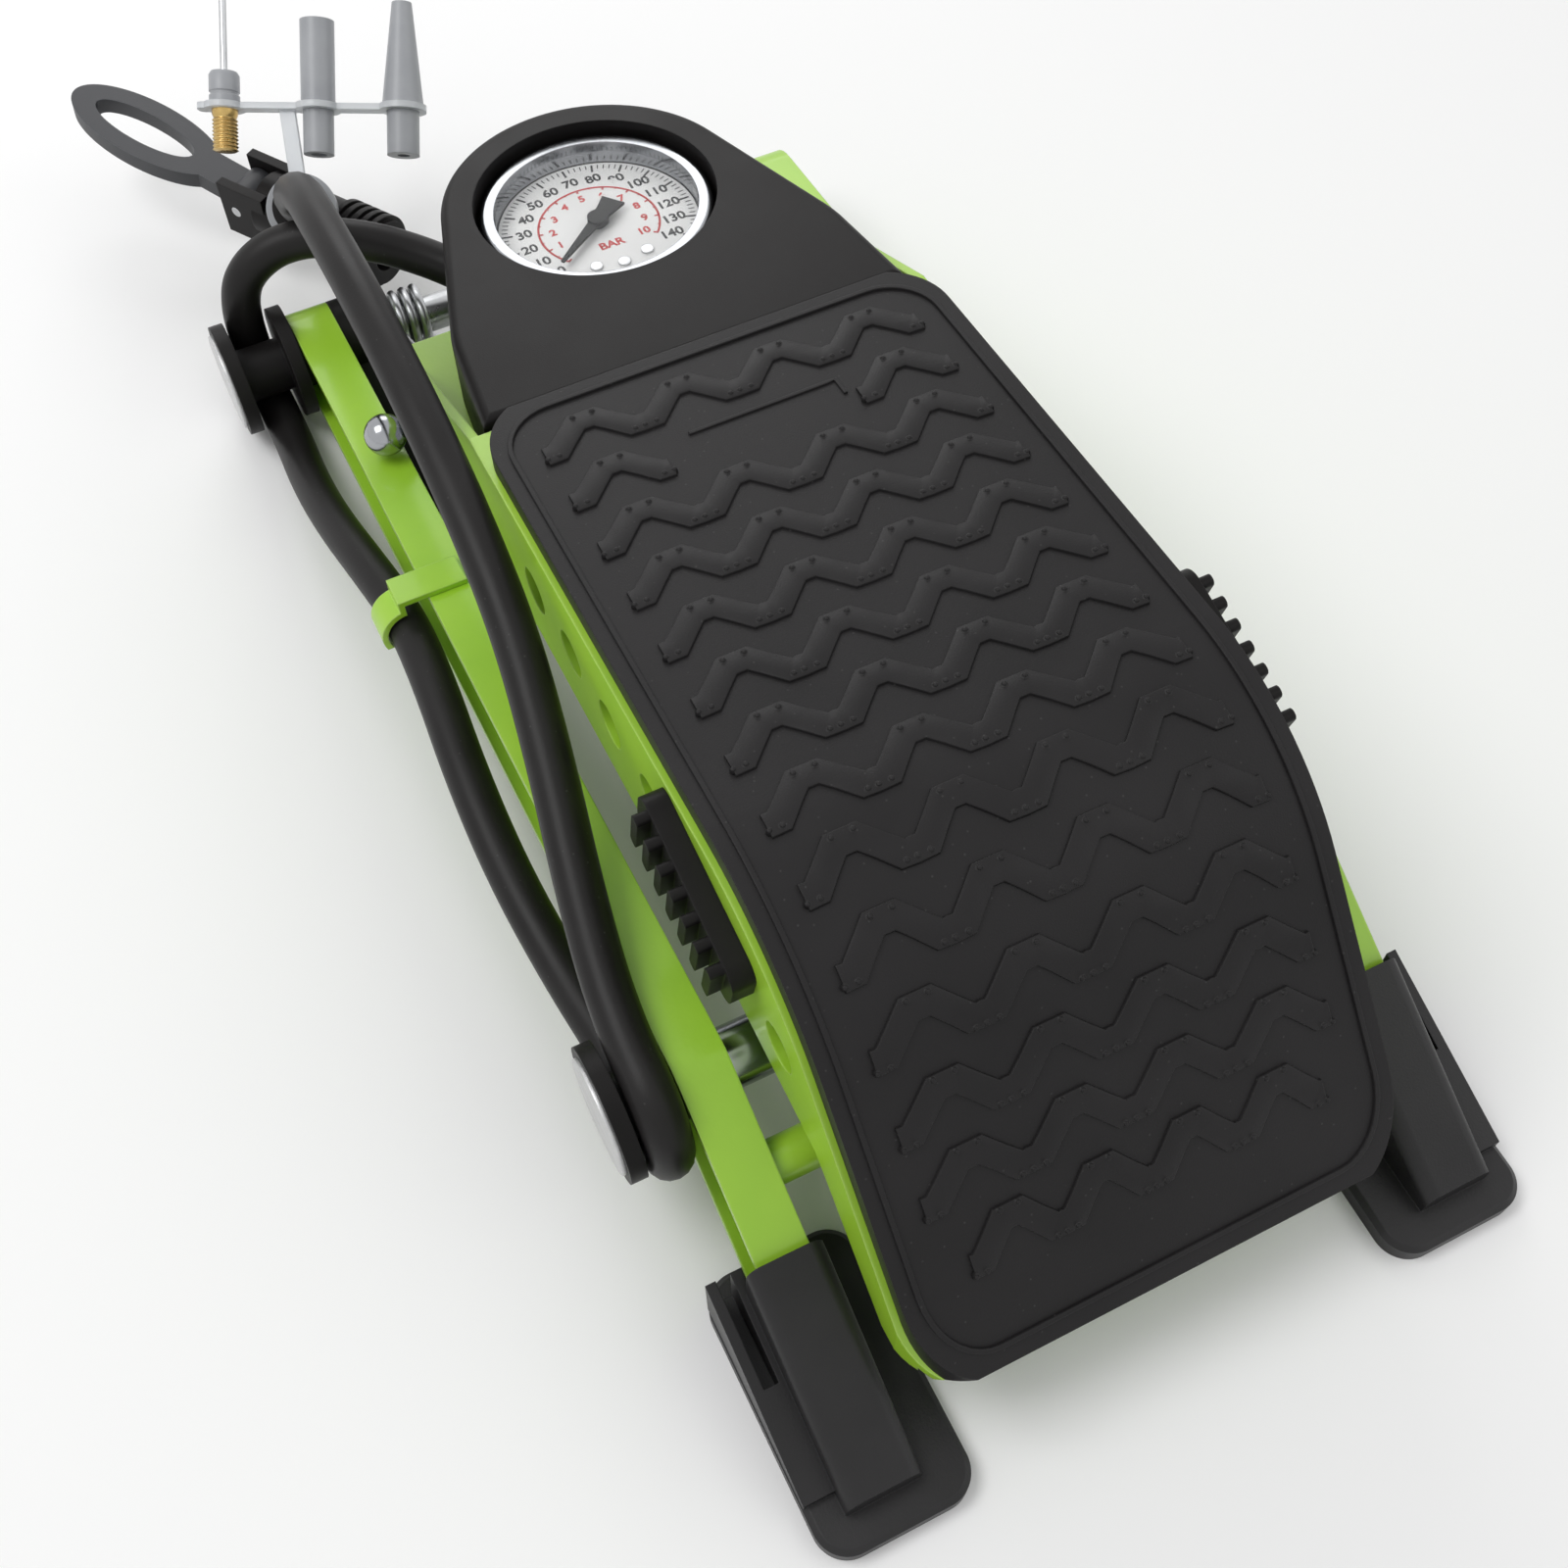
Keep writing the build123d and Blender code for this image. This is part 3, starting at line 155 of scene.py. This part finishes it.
# --- materials ----------------------------------------------------------------------------------------
def material(name, colour, other, roughness=0.5, swing=0.08, metallic=0.0, patch=70.0, grain=2600.0,
             depth=0.03, edge=None, edge_width=0.35, coat=0.0, stretch=(1, 1, 1), alpha=1.0,
             transmission=0.0, specks=0.0, specular=0.5):
    """Procedural finish: two colours in soft patches, uneven roughness, a fine grain and a painted highlight that
    lightens the edges.
    """
    made = bpy.data.materials.new(name)
    made.use_nodes = True
    nodes, links = made.node_tree.nodes, made.node_tree.links
    shader = nodes["Principled BSDF"]

    def add(kind, **settings):
        new = nodes.new(kind)
        for key, value in settings.items():
            setattr(new, key, value)
        return new

    coords = add("ShaderNodeTexCoord")
    mapping = add("ShaderNodeMapping")
    mapping.inputs["Scale"].default_value = stretch
    links.new(coords.outputs["Object"], mapping.inputs["Vector"])
    clouds = add("ShaderNodeTexNoise")
    clouds.inputs["Scale"].default_value = patch
    clouds.inputs["Detail"].default_value = 6.0
    links.new(mapping.outputs["Vector"], clouds.inputs["Vector"])
    fine = add("ShaderNodeTexNoise")
    fine.inputs["Scale"].default_value = grain
    fine.inputs["Detail"].default_value = 3.0
    links.new(mapping.outputs["Vector"], fine.inputs["Vector"])

    spread = add("ShaderNodeMapRange")
    spread.inputs["From Min"].default_value = 0.32
    spread.inputs["From Max"].default_value = 0.68
    links.new(clouds.outputs["Fac"], spread.inputs["Value"])
    mix = add("ShaderNodeMix", data_type="RGBA")
    mix.inputs["A"].default_value = (*colour, 1)
    mix.inputs["B"].default_value = (*other, 1)
    links.new(spread.outputs["Result"], mix.inputs["Factor"])
    paint = mix.outputs["Result"]

    bevel = add("ShaderNodeBevel")
    bevel.inputs["Radius"].default_value = edge_width * MM
    # painted highlight: where the bevel normal turns away from the face normal, the colour is mixed towards the
    # lighter edge colour
    if edge:
        face = add("ShaderNodeNewGeometry")
        flat = add("ShaderNodeVectorMath", operation="DOT_PRODUCT")
        links.new(bevel.outputs["Normal"], flat.inputs[0])
        links.new(face.outputs["Normal"], flat.inputs[1])
        edge_highlight_mask = add("ShaderNodeMapRange")
        edge_highlight_mask.inputs["From Min"].default_value = 0.99
        edge_highlight_mask.inputs["From Max"].default_value = 0.80
        edge_highlight_mask.inputs["To Max"].default_value = 0.75
        links.new(flat.outputs["Value"], edge_highlight_mask.inputs["Value"])
        edge_highlight_mix = add("ShaderNodeMix", data_type="RGBA")
        edge_highlight_mix.inputs["B"].default_value = (*edge, 1)
        links.new(edge_highlight_mask.outputs["Result"], edge_highlight_mix.inputs["Factor"])
        links.new(paint, edge_highlight_mix.inputs["A"])
        paint = edge_highlight_mix.outputs["Result"]
    if specks:
        dust = add("ShaderNodeTexVoronoi")
        dust.inputs["Scale"].default_value = 420.0
        links.new(coords.outputs["Object"], dust.inputs["Vector"])
        dot = add("ShaderNodeMapRange")
        dot.inputs["From Min"].default_value = 0.10
        dot.inputs["From Max"].default_value = 0.04
        dot.inputs["To Max"].default_value = specks
        links.new(dust.outputs["Distance"], dot.inputs["Value"])
        dusty = add("ShaderNodeMix", data_type="RGBA")
        dusty.inputs["B"].default_value = (0.45, 0.45, 0.44, 1)
        links.new(dot.outputs["Result"], dusty.inputs["Factor"])
        links.new(paint, dusty.inputs["A"])
        paint = dusty.outputs["Result"]
    links.new(paint, shader.inputs["Base Color"])

    gloss = add("ShaderNodeMapRange")
    gloss.inputs["To Min"].default_value = roughness - swing
    gloss.inputs["To Max"].default_value = roughness + swing
    links.new(clouds.outputs["Fac"], gloss.inputs["Value"])
    links.new(gloss.outputs["Result"], shader.inputs["Roughness"])
    bump = add("ShaderNodeBump")
    bump.inputs["Distance"].default_value = depth * MM
    bump.inputs["Strength"].default_value = 0.7
    links.new(fine.outputs["Fac"], bump.inputs["Height"])
    links.new(bevel.outputs["Normal"], bump.inputs["Normal"])
    links.new(bump.outputs["Normal"], shader.inputs["Normal"])
    shader.inputs["Metallic"].default_value = metallic
    shader.inputs["Coat Weight"].default_value = coat
    shader.inputs["Coat Roughness"].default_value = 0.12
    shader.inputs["Specular IOR Level"].default_value = specular
    shader.inputs["Alpha"].default_value = alpha
    shader.inputs["Transmission Weight"].default_value = transmission
    return made


# each edge colour is a painted highlight, lighter than its finish, which material() lays along every edge
FINISHES = {
    "green_paint": dict(colour=(0.36, 0.62, 0.036), other=(0.30, 0.55, 0.028), roughness=0.36, coat=0.35,
                        grain=700, depth=0.05, edge=(0.55, 0.80, 0.20), edge_width=0.5, patch=35),
    "mat_rubber": dict(colour=(0.0095, 0.0088, 0.0092), other=(0.0140, 0.0130, 0.0136), roughness=0.46, swing=0.10,
                       grain=3400, depth=0.05, edge=(0.026, 0.025, 0.025), patch=45, specks=0.05, specular=0.22),
    "foot_rubber": dict(colour=(0.0130, 0.0125, 0.0130), other=(0.0190, 0.0183, 0.0190), roughness=0.40, swing=0.12,
                        grain=2400, depth=0.05, edge=(0.034, 0.034, 0.036), patch=60, specular=0.30),
    "hose_rubber": dict(colour=(0.0110, 0.0100, 0.0100), other=(0.0160, 0.0148, 0.0148), roughness=0.42, swing=0.10,
                        grain=1900, depth=0.03, patch=50, specks=0.05, specular=0.20),
    "black_plastic": dict(colour=(0.0068, 0.0060, 0.0060), other=(0.0102, 0.0092, 0.0092), roughness=0.42, swing=0.10,
                          grain=4200, depth=0.04, edge=(0.026, 0.025, 0.025), patch=80, specular=0.14),
    "grey_lever": dict(colour=(0.022, 0.023, 0.027), other=(0.030, 0.031, 0.036), roughness=0.46, grain=3600,
                       depth=0.04, edge=(0.130, 0.135, 0.150), patch=70),
    "light_grey": dict(colour=(0.30, 0.31, 0.33), other=(0.36, 0.37, 0.39), roughness=0.38, grain=2400, depth=0.02,
                       edge=(0.50, 0.51, 0.53), patch=90),
    "clear_strap": dict(colour=(0.80, 0.82, 0.84), other=(0.72, 0.75, 0.78), roughness=0.34, grain=900, depth=0.04,
                        transmission=0.35, patch=80),
    "zinc": dict(colour=(0.58, 0.59, 0.60), other=(0.46, 0.47, 0.48), roughness=0.30, metallic=1.0, grain=2100,
                 depth=0.02, edge=(0.80, 0.80, 0.80), patch=160),
    "chrome": dict(colour=(0.40, 0.41, 0.43), other=(0.31, 0.32, 0.34), roughness=0.17, swing=0.05, metallic=1.0,
                   grain=900, depth=0.008, edge=(0.60, 0.60, 0.62), patch=110),
    "brass": dict(colour=(0.62, 0.44, 0.17), other=(0.50, 0.34, 0.12), roughness=0.28, metallic=1.0, grain=1600,
                  depth=0.02, edge=(0.80, 0.62, 0.30), patch=140),
    "white_dial": dict(colour=(0.90, 0.90, 0.89), other=(0.85, 0.85, 0.84), roughness=0.40, grain=2600, depth=0.01,
                       patch=60),
    "lens": dict(colour=(0.10, 0.11, 0.12), other=(0.08, 0.09, 0.10), roughness=0.05, swing=0.02, alpha=0.08,
                 grain=300, depth=0.004, patch=30, coat=1.0),
    "cap_disc": dict(colour=(0.62, 0.62, 0.62), other=(0.54, 0.54, 0.54), roughness=0.40, metallic=0.9, grain=1500,
                     depth=0.03, edge=(0.80, 0.80, 0.80), stretch=(1, 1, 6), patch=120),
    "barrel_steel": dict(colour=(0.50, 0.51, 0.52), other=(0.42, 0.43, 0.44), roughness=0.34, metallic=1.0,
                         grain=900, depth=0.02, stretch=(6, 1, 6), patch=90),
    "seal": dict(colour=(0.030, 0.026, 0.022), other=(0.045, 0.040, 0.034), roughness=0.35, grain=1900, depth=0.03),
}
INKS = {
    "ink_black": dict(colour=(0.012, 0.012, 0.013), other=(0.020, 0.020, 0.020), roughness=0.5, depth=0.005),
    "ink_red": dict(colour=(0.66, 0.035, 0.035), other=(0.58, 0.030, 0.030), roughness=0.5, depth=0.005),
}
MATERIALS = {name: material(name, **finish) for name, finish in {**FINISHES, **INKS}.items()}


def finish_cad_nodes():
    for part in RECORD["subparts"]:
        node = NODES[part["node"]]
        chosen = MATERIALS[part["material_slot"]]
        if node.material_slots:
            for place in node.material_slots:
                place.material = chosen
        else:
            node.data.materials.append(chosen)
        node.data.polygons.foreach_set("use_smooth", [True] * len(node.data.polygons))
        node.data.set_sharp_from_angle(angle=radians(28))


# --- mesh helpers -------------------------------------------------------------------------------------
def finish_mesh(name, made, slot, smooth=True):
    """Turn a bmesh into an object with a finish."""
    bmesh.ops.recalc_face_normals(made, faces=made.faces)
    data = bpy.data.meshes.new(name)
    made.to_mesh(data)
    made.free()
    data.materials.append(MATERIALS[slot])
    if smooth:
        data.polygons.foreach_set("use_smooth", [True] * len(data.polygons))
        data.set_sharp_from_angle(angle=radians(38))
    piece = bpy.data.objects.new(name, data)
    bpy.context.collection.objects.link(piece)
    return piece


def add_rings(made, rings, closed_ends=True, loop=False):
    """Join equal rings of points into a skin."""
    rows = [[made.verts.new(p) for p in ring] for ring in rings]
    count = len(rows[0])
    pairs = list(zip(rows, rows[1:])) + ([(rows[-1], rows[0])] if loop else [])
    for low, high in pairs:
        for i in range(count):
            j = (i + 1) % count
            made.faces.new((low[i], low[j], high[j], high[i]))
    if closed_ends and not loop:
        made.faces.new(rows[0])
        made.faces.new(rows[-1])


def tube_rings(points, radius, sides):
    """Rings round a path, carried along without twist."""
    points = [Vector(p) for p in points]
    heading = (points[1] - points[0]).normalized()
    side = heading.orthogonal().normalized()
    rings = []
    for i, p in enumerate(points):
        ahead = (points[min(i + 1, len(points) - 1)] - points[max(i - 1, 0)]).normalized()
        side = heading.rotation_difference(ahead) @ side
        heading = ahead
        other = heading.cross(side)
        rings.append([p + side * radius * cos(2 * pi * k / sides) + other * radius * sin(2 * pi * k / sides)
                      for k in range(sides)])
    return rings


def lathe(name, profile, origin, axis, slot, sides=28):
    """Turned piece: (radius, height) pairs in mm, round an axis."""
    axis = Vector(axis).normalized()
    side = axis.orthogonal().normalized()
    other = axis.cross(side)
    rings = [[origin + axis * h * MM + (side * cos(2 * pi * k / sides) + other * sin(2 * pi * k / sides)) * r * MM
              for k in range(sides)] for r, h in profile]
    made = bmesh.new()
    add_rings(made, rings)
    return finish_mesh(name, made, slot)


def nurbs_line(name, points, radius=0.0):
    """Smooth line with the route's points as its control points."""
    data = bpy.data.curves.new(name, "CURVE")
    data.dimensions = "3D"
    data.resolution_u = 16
    data.bevel_depth = radius
    data.bevel_resolution = 6
    data.use_fill_caps = True
    line = data.splines.new("NURBS")
    line.points.add(len(points) - 1)
    for place, p in zip(line.points, points):
        place.co = (*p, 1)
    line.order_u = 3
    line.use_endpoint_u = True
    piece = bpy.data.objects.new(name, data)
    bpy.context.collection.objects.link(piece)
    return piece


# --- tread mat ----------------------------------------------------------------------------------------
MAT_LOW, MAT_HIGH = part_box("tread_mat")
MAT_MIDDLE = (MAT_LOW[0] + MAT_HIGH[0]) / 2
MAT_HALF = (MAT_HIGH[0] - MAT_LOW[0]) / 2


def on_mat(x, y):
    """Point and normal of the mat's top over (x, y)."""
    hit, place, normal, _ = NODES["tread_mat"].ray_cast(Vector((x, y, 0.3)), Vector((0, 0, -1)))
    return (place, normal) if hit else None


def add_bead(made, line, width, height, loop=False):
    """Raised bead along (x, y) points laid on the mat."""
    found = [spot for spot in (on_mat(x, y) for x, y in line) if spot]
    rings = []
    for i, (p, normal) in enumerate(found):
        if loop:
            ahead = found[(i + 1) % len(found)][0] - found[i - 1][0]
        else:
            ahead = found[min(i + 1, len(found) - 1)][0] - found[max(i - 1, 0)][0]
        side = normal.cross(ahead).normalized()
        if 0 < i < len(found) - 1:
            turn = (found[i + 1][0] - p).angle(p - found[i - 1][0])
            side = side / max(cos(turn / 2), 0.8)
        shape = ((-0.5, -0.35), (-0.46, 0.8), (-0.40, 1.0), (0.40, 1.0), (0.46, 0.8), (0.5, -0.35))
        rings.append([p + side * width * u + normal * height * v for u, v in shape])
    if len(rings) > 1:
        add_rings(made, rings, loop=loop)


def add_dome(made, x, y, radius, height):
    spot = on_mat(x, y)
    if not spot:
        return
    p, normal = spot
    side = normal.orthogonal().normalized()
    other = normal.cross(side)
    rings = []
    for share, lift in ((1.0, -0.3), (0.92, 0.45), (0.6, 0.88), (0.2, 1.0)):
        rings.append([p + normal * height * lift + (side * cos(2 * pi * k / 10) + other * sin(2 * pi * k / 10))
                      * radius * share for k in range(10)])
    add_rings(made, rings)


RIB_PITCH = 12.5 * MM
RIB_SWING = 2.7 * MM
RIB_WAVES = 4
RIB_WAVE = ((0.0, -1), (0.12, -1), (0.42, 1), (0.62, 1), (0.90, -1))
RIB_WIDTH = 4.7 * MM
RIB_HEIGHT = 0.6 * MM
PANEL_ROW = 1            # the second row leaves its middle bare
MAT_MARGIN = 5.2 * MM


def make_mat():
    """Rows of zig-zag ribs with small pips between them, inside a raised border."""
    made = bmesh.new()
    reach = MAT_HALF - MAT_MARGIN - 3.0 * MM
    y = MAT_HIGH[1] - 12.5 * MM
    count = 0
    while y > MAT_LOW[1] + 10 * MM:
        slope = on_mat(MAT_MIDDLE, y)[1].z
        narrow = 1.0 if y > MAT_LOW[1] + 15 * MM else 0.88
        left, wave = MAT_MIDDLE - reach * narrow, 2 * reach * narrow / RIB_WAVES
        row = [(left + wave * (n + share), y + RIB_SWING * swing * slope)
               for n in range(RIB_WAVES) for share, swing in RIB_WAVE]
        row.append((left + wave * RIB_WAVES, y - RIB_SWING * slope))
        one = len(RIB_WAVE)
        for piece in ((row[:one + 1], row[-one - 1:]) if count == PANEL_ROW else (row,)):
            dense = []
            for (x0, y0), (x1, y1) in zip(piece, piece[1:]):
                cuts = 2 if abs(y1 - y0) > RIB_SWING else 1
                dense += [(x0 + (x1 - x0) * k / cuts, y0 + (y1 - y0) * k / cuts) for k in range(cuts)]
            add_bead(made, dense + [piece[-1]], RIB_WIDTH, RIB_HEIGHT)
            for x, corner in piece:
                lean = 1.1 * MM if corner > y else -1.1 * MM
                add_dome(made, x, corner + lean, 0.62 * MM, 1.05 * MM)
        if count == PANEL_ROW:
            panel_y = y + 3.4 * MM
        y -= RIB_PITCH * slope
        count += 1
    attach(finish_mesh("mat_ribs", made, "mat_rubber"), "pedal")

    made = bmesh.new()
    panel_end = MAT_MIDDLE + reach / 2 - 2 * MM
    edge = [(MAT_MIDDLE - reach / 2 + (6 + 3 * k) * MM, panel_y) for k in range(20)]
    edge = [(x, y) for x, y in edge if x < panel_end] + [(panel_end, panel_y), (panel_end, panel_y - 4 * MM)]
    add_bead(made, edge, 0.8 * MM, 0.4 * MM)
    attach(finish_mesh("mat_panel_edge", made, "mat_rubber"), "pedal")

    made = bmesh.new()
    x0, x1 = MAT_LOW[0] + 3.0 * MM, MAT_HIGH[0] - 3.0 * MM
    y0, y1 = MAT_LOW[1] + 2.6 * MM, MAT_HIGH[1] - 3.2 * MM
    corner = 10.0 * MM
    outline = []
    for cx, cy, start in ((x1 - corner, y1 - corner, 0), (x0 + corner, y1 - corner, 90),
                          (x0 + corner, y0 + corner, 180), (x1 - corner, y0 + corner, 270)):
        outline += [(cx + corner * cos(radians(start + 10 * k)), cy + corner * sin(radians(start + 10 * k)))
                    for k in range(10)]
    dense = []
    for i, (ax, ay) in enumerate(outline):
        bx, by = outline[(i + 1) % len(outline)]
        cuts = max(1, int(((bx - ax) ** 2 + (by - ay) ** 2) ** 0.5 / (3 * MM)))
        dense += [(ax + (bx - ax) * k / cuts, ay + (by - ay) * k / cuts) for k in range(cuts)]
    add_bead(made, dense, 1.0 * MM, 0.55 * MM, loop=True)
    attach(finish_mesh("mat_border", made, "mat_rubber"), "pedal")


# --- gauge --------------------------------------------------------------------------------------------
SPINDLE = JOINTS["gauge_hand_spindle"]
DIAL_NORMAL = -Vector(SPINDLE["axis"])
DIAL_CENTRE = Vector(SPINDLE["pos_m"])
DIAL_RIGHT = Vector((1, 0, 0))
DIAL_UP = DIAL_NORMAL.cross(DIAL_RIGHT)
SWEEP = 128.0             # degrees from the top to either end of the scale
INK = 0.04 * MM


def dial_matrix(x, y, turn=0.0):
    frame_axes = Matrix((DIAL_RIGHT, DIAL_UP, DIAL_NORMAL)).transposed().to_4x4()
    spot = DIAL_CENTRE + (DIAL_RIGHT * x + DIAL_UP * y) * MM + DIAL_NORMAL * 0.02 * MM
    return Matrix.Translation(spot) @ frame_axes @ Matrix.Rotation(turn, 4, "Z")


def add_mark(made, inner, outer, angle, width):
    """Radial tick between two radii, at an angle clockwise from the top."""
    place = dial_matrix(0, 0, -radians(angle))
    half = width / 2 * MM
    corners = [(-half, inner * MM), (half, inner * MM), (half, outer * MM), (-half, outer * MM)]
    rings = [[place @ Vector((x, y, z)) for x, y in corners] for z in (0, INK)]
    add_rings(made, rings)


def add_arc(made, radius, width, start, end):
    steps = 64
    inner, outer = (radius - width / 2) * MM, (radius + width / 2) * MM
    rings = []
    for i in range(steps + 1):
        place = dial_matrix(0, 0, -radians(start + (end - start) * i / steps))
        rings.append([place @ Vector(p) for p in ((0, inner, 0), (0, outer, 0), (0, outer, INK), (0, inner, INK))])
    add_rings(made, rings)


def add_lettering(made, words):
    """Flat characters on the dial: (text, x, y, height)."""
    shown = []
    for text, x, y, height in words:
        data = bpy.data.curves.new("text", "FONT")
        data.body = text
        data.size = height * MM
        data.align_x = "CENTER"
        data.align_y = "CENTER"
        data.extrude = INK / 2
        data.offset = 0.09 * MM
        piece = bpy.data.objects.new("text", data)
        bpy.context.collection.objects.link(piece)
        shown.append((piece, dial_matrix(x, y)))
    bpy.context.view_layer.update()
    graph = bpy.context.evaluated_depsgraph_get()
    for piece, place in shown:
        flat = bpy.data.meshes.new_from_object(piece.evaluated_get(graph))
        flat.transform(place)
        made.from_mesh(flat)
        bpy.data.meshes.remove(flat)
        data = piece.data
        bpy.data.objects.remove(piece)
        bpy.data.curves.remove(data)


def scale_angle(share):
    return -SWEEP + 2 * SWEEP * share


def on_dial(share, radius):
    a = radians(scale_angle(share))
    return radius * sin(a), radius * cos(a)


def make_dial():
    """Printed scales: an outer black one to 140 and an inner red one to 10."""
    black, red = bmesh.new(), bmesh.new()
    for i in range(71):
        long = i % 5 == 0
        add_mark(black, 17.5 if long else 18.5, 19.7, scale_angle(i / 70), 0.45 if long else 0.22)
    add_lettering(black, [(str(n * 10), *on_dial(n / 14, 15.2), 3.3) for n in range(15)])
    top = 10 / (140 / 14.5)
    add_arc(red, 12.3, 0.45, scale_angle(0), scale_angle(top * 0.97))
    for i in range(21):
        long = i % 2 == 0
        add_mark(red, 11.4 if long else 11.8, 12.4, scale_angle(top * 0.97 * i / 20), 0.40 if long else 0.22)
    add_lettering(red, [(str(n), *on_dial(top * 0.97 * n / 10, 9.4), 2.7) for n in range(1, 11)])
    add_lettering(red, [("BAR", 0, -6.6, 2.9)])
    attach(finish_mesh("dial_scale", black, "ink_black", smooth=False), "pedal")
    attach(finish_mesh("dial_inner_scale", red, "ink_red", smooth=False), "pedal")


# --- springs ------------------------------------------------------------------------------------------
def make_springs():
    """Coils of the torsion spring, with an arm on the crossbar and an arm under the gauge's bridge."""
    wire, radius, turns = 1.1, 6.4, 4.5
    made = bmesh.new()
    for side in (-1, 1):
        path = [at(side * 31.1, -18.0, 8.35), at(side * 31.1, 8.0, 8.4)]
        steps = int(turns * 20)
        for i in range(steps + 1):
            a = radians(-90 + 360 * turns * i / steps)
            path.append(at(side * (31.1 + 11.3 * i / steps), 35 + radius * cos(a), 15 + radius * sin(a)))
        path += [at(side * 42.4, 12.0, 34.3), at(side * 42.4, -12.0, 47.8)]
        add_rings(made, tube_rings(path, wire * MM, 10))
    coils = finish_mesh("spring_coils", made, "zinc")
    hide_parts("torsion_spring")
    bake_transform(coils)


# --- hose ---------------------------------------------------------------------------------------------
HOSE_DIAMETER = 0.0084
LEAD_ROUTE = [
    (-10.29, 9.82, 31.1), (-18.64, 19.78, 31.1), (-29.0, 32.0, 34.0), (-42.0, 39.5, 38.6), (-55.5, 44.4, 39.4),
    (-65.6, 45.8, 33.6), (-69.3, 45.2, 25.0), (-69.3, 45.2, 17.0),
]
HOSE_ROUTE = [
    (-69.3, 45.2, 17.0), (-69.3, 45.2, 4.8), (-69.2, 22.0, 5.6), (-70.2, 4.0, 10.0), (-69.8, -14.0, 15.5),
    (-68.0, -32.0, 20.8), (-66.0, -50.0, 24.0), (-66.6, -68.0, 25.4), (-68.6, -90.0, 24.6), (-69.2, -112.0, 22.4),
    (-67.8, -134.0, 20.6), (-65.7, -153.0, 20.8), (-65.7, -175.2, 20.8), (-65.7, -175.2, 41.2),
    (-65.3, -154.0, 41.6), (-62.2, -134.0, 45.8), (-57.6, -112.0, 52.4), (-54.0, -90.0, 59.2), (-52.8, -68.0, 65.2),
    (-52.4, -46.0, 69.2), (-52.3, -24.0, 71.0), (-52.4, -3.0, 70.6), (-52.2, 17.0, 67.0), (-51.2, 34.0, 59.0),
    (-51.13, 50.56, 44.53), (-48.42, 59.89, 33.10),
]


def make_hose(needle_pieces):
    lead_points = [at(*p) for p in LEAD_ROUTE]
    line = nurbs_line("lead_line", lead_points)
    bpy.context.view_layer.update()
    flat = bpy.data.meshes.new_from_object(line)
    path = [tuple(v.co) for v in flat.vertices]
    bpy.data.objects.remove(line)
    made = bmesh.new()
    add_rings(made, tube_rings(path, HOSE_DIAMETER / 2, 24))
    lead = finish_mesh("gauge_hose", made, "hose_rubber")
    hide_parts("hose_lead")
    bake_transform(lead)

    hose = nurbs_line("long_hose", [at(*p) for p in HOSE_ROUTE], HOSE_DIAMETER / 2)
    hose.data.materials.append(MATERIALS["hose_rubber"])
    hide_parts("hose")
    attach(hose, "base")


# --- ball needle --------------------------------------------------------------------------------------
ADAPTER_AXIS = Vector((0.36, 0.70, 0.62))
NEEDLE_ROOT = (-54.83, 86.92, 41.91)


def make_needle():
    """Steel needle in a ribbed cap, with a threaded brass foot."""
    root = at(*NEEDLE_ROOT)
    thread = [(0.6, -9.0), (2.3, -9.0)]
    for i in range(9):
        thread += [(2.85, -8.7 + 0.8 * i), (2.45, -8.3 + 0.8 * i)]
    thread += [(2.85, -1.0), (2.85, 1.4), (0.6, 1.4)]
    foot = lathe("needle_foot", thread, root, ADAPTER_AXIS, "brass")
    cap = lathe("needle_cap", [(0.7, 1.4), (3.1, 1.4), (3.4, 1.7), (3.4, 3.0), (3.1, 3.2), (3.1, 3.7), (3.4, 3.9),
                               (3.4, 7.4), (2.9, 8.2), (1.2, 8.6), (0.7, 8.6)], root, ADAPTER_AXIS, "light_grey")
    needle = lathe("needle_tube", [(0.3, 7.0), (0.8, 7.0), (0.8, 36.4), (0.66, 37.4), (0.3, 38.0)],
                   root, ADAPTER_AXIS, "zinc", sides=16)
    for piece in (foot, cap, needle):
        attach(piece, "base")
    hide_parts("ball_needle")
    return [foot, cap, needle]


# --- small fittings -----------------------------------------------------------------------------------
def make_rivets():
    """Domed rivets of the lock bracket."""
    rivets = []
    for i, y in enumerate((-17.6, -7.0)):
        rivets.append(lathe(f"lock_rivet_{i}", [(1.5, 0.0), (1.5, 0.35), (1.1, 0.75), (0.4, 0.9)],
                            at(-46.4, y, 33.6), (-1, 0, 0), "zinc", sides=20))
    for piece in rivets:
        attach(piece, "pedal")


make_camera()
make_studio()
finish_cad_nodes()
make_mat()
make_dial()
make_springs()
make_hose(make_needle())
make_rivets()
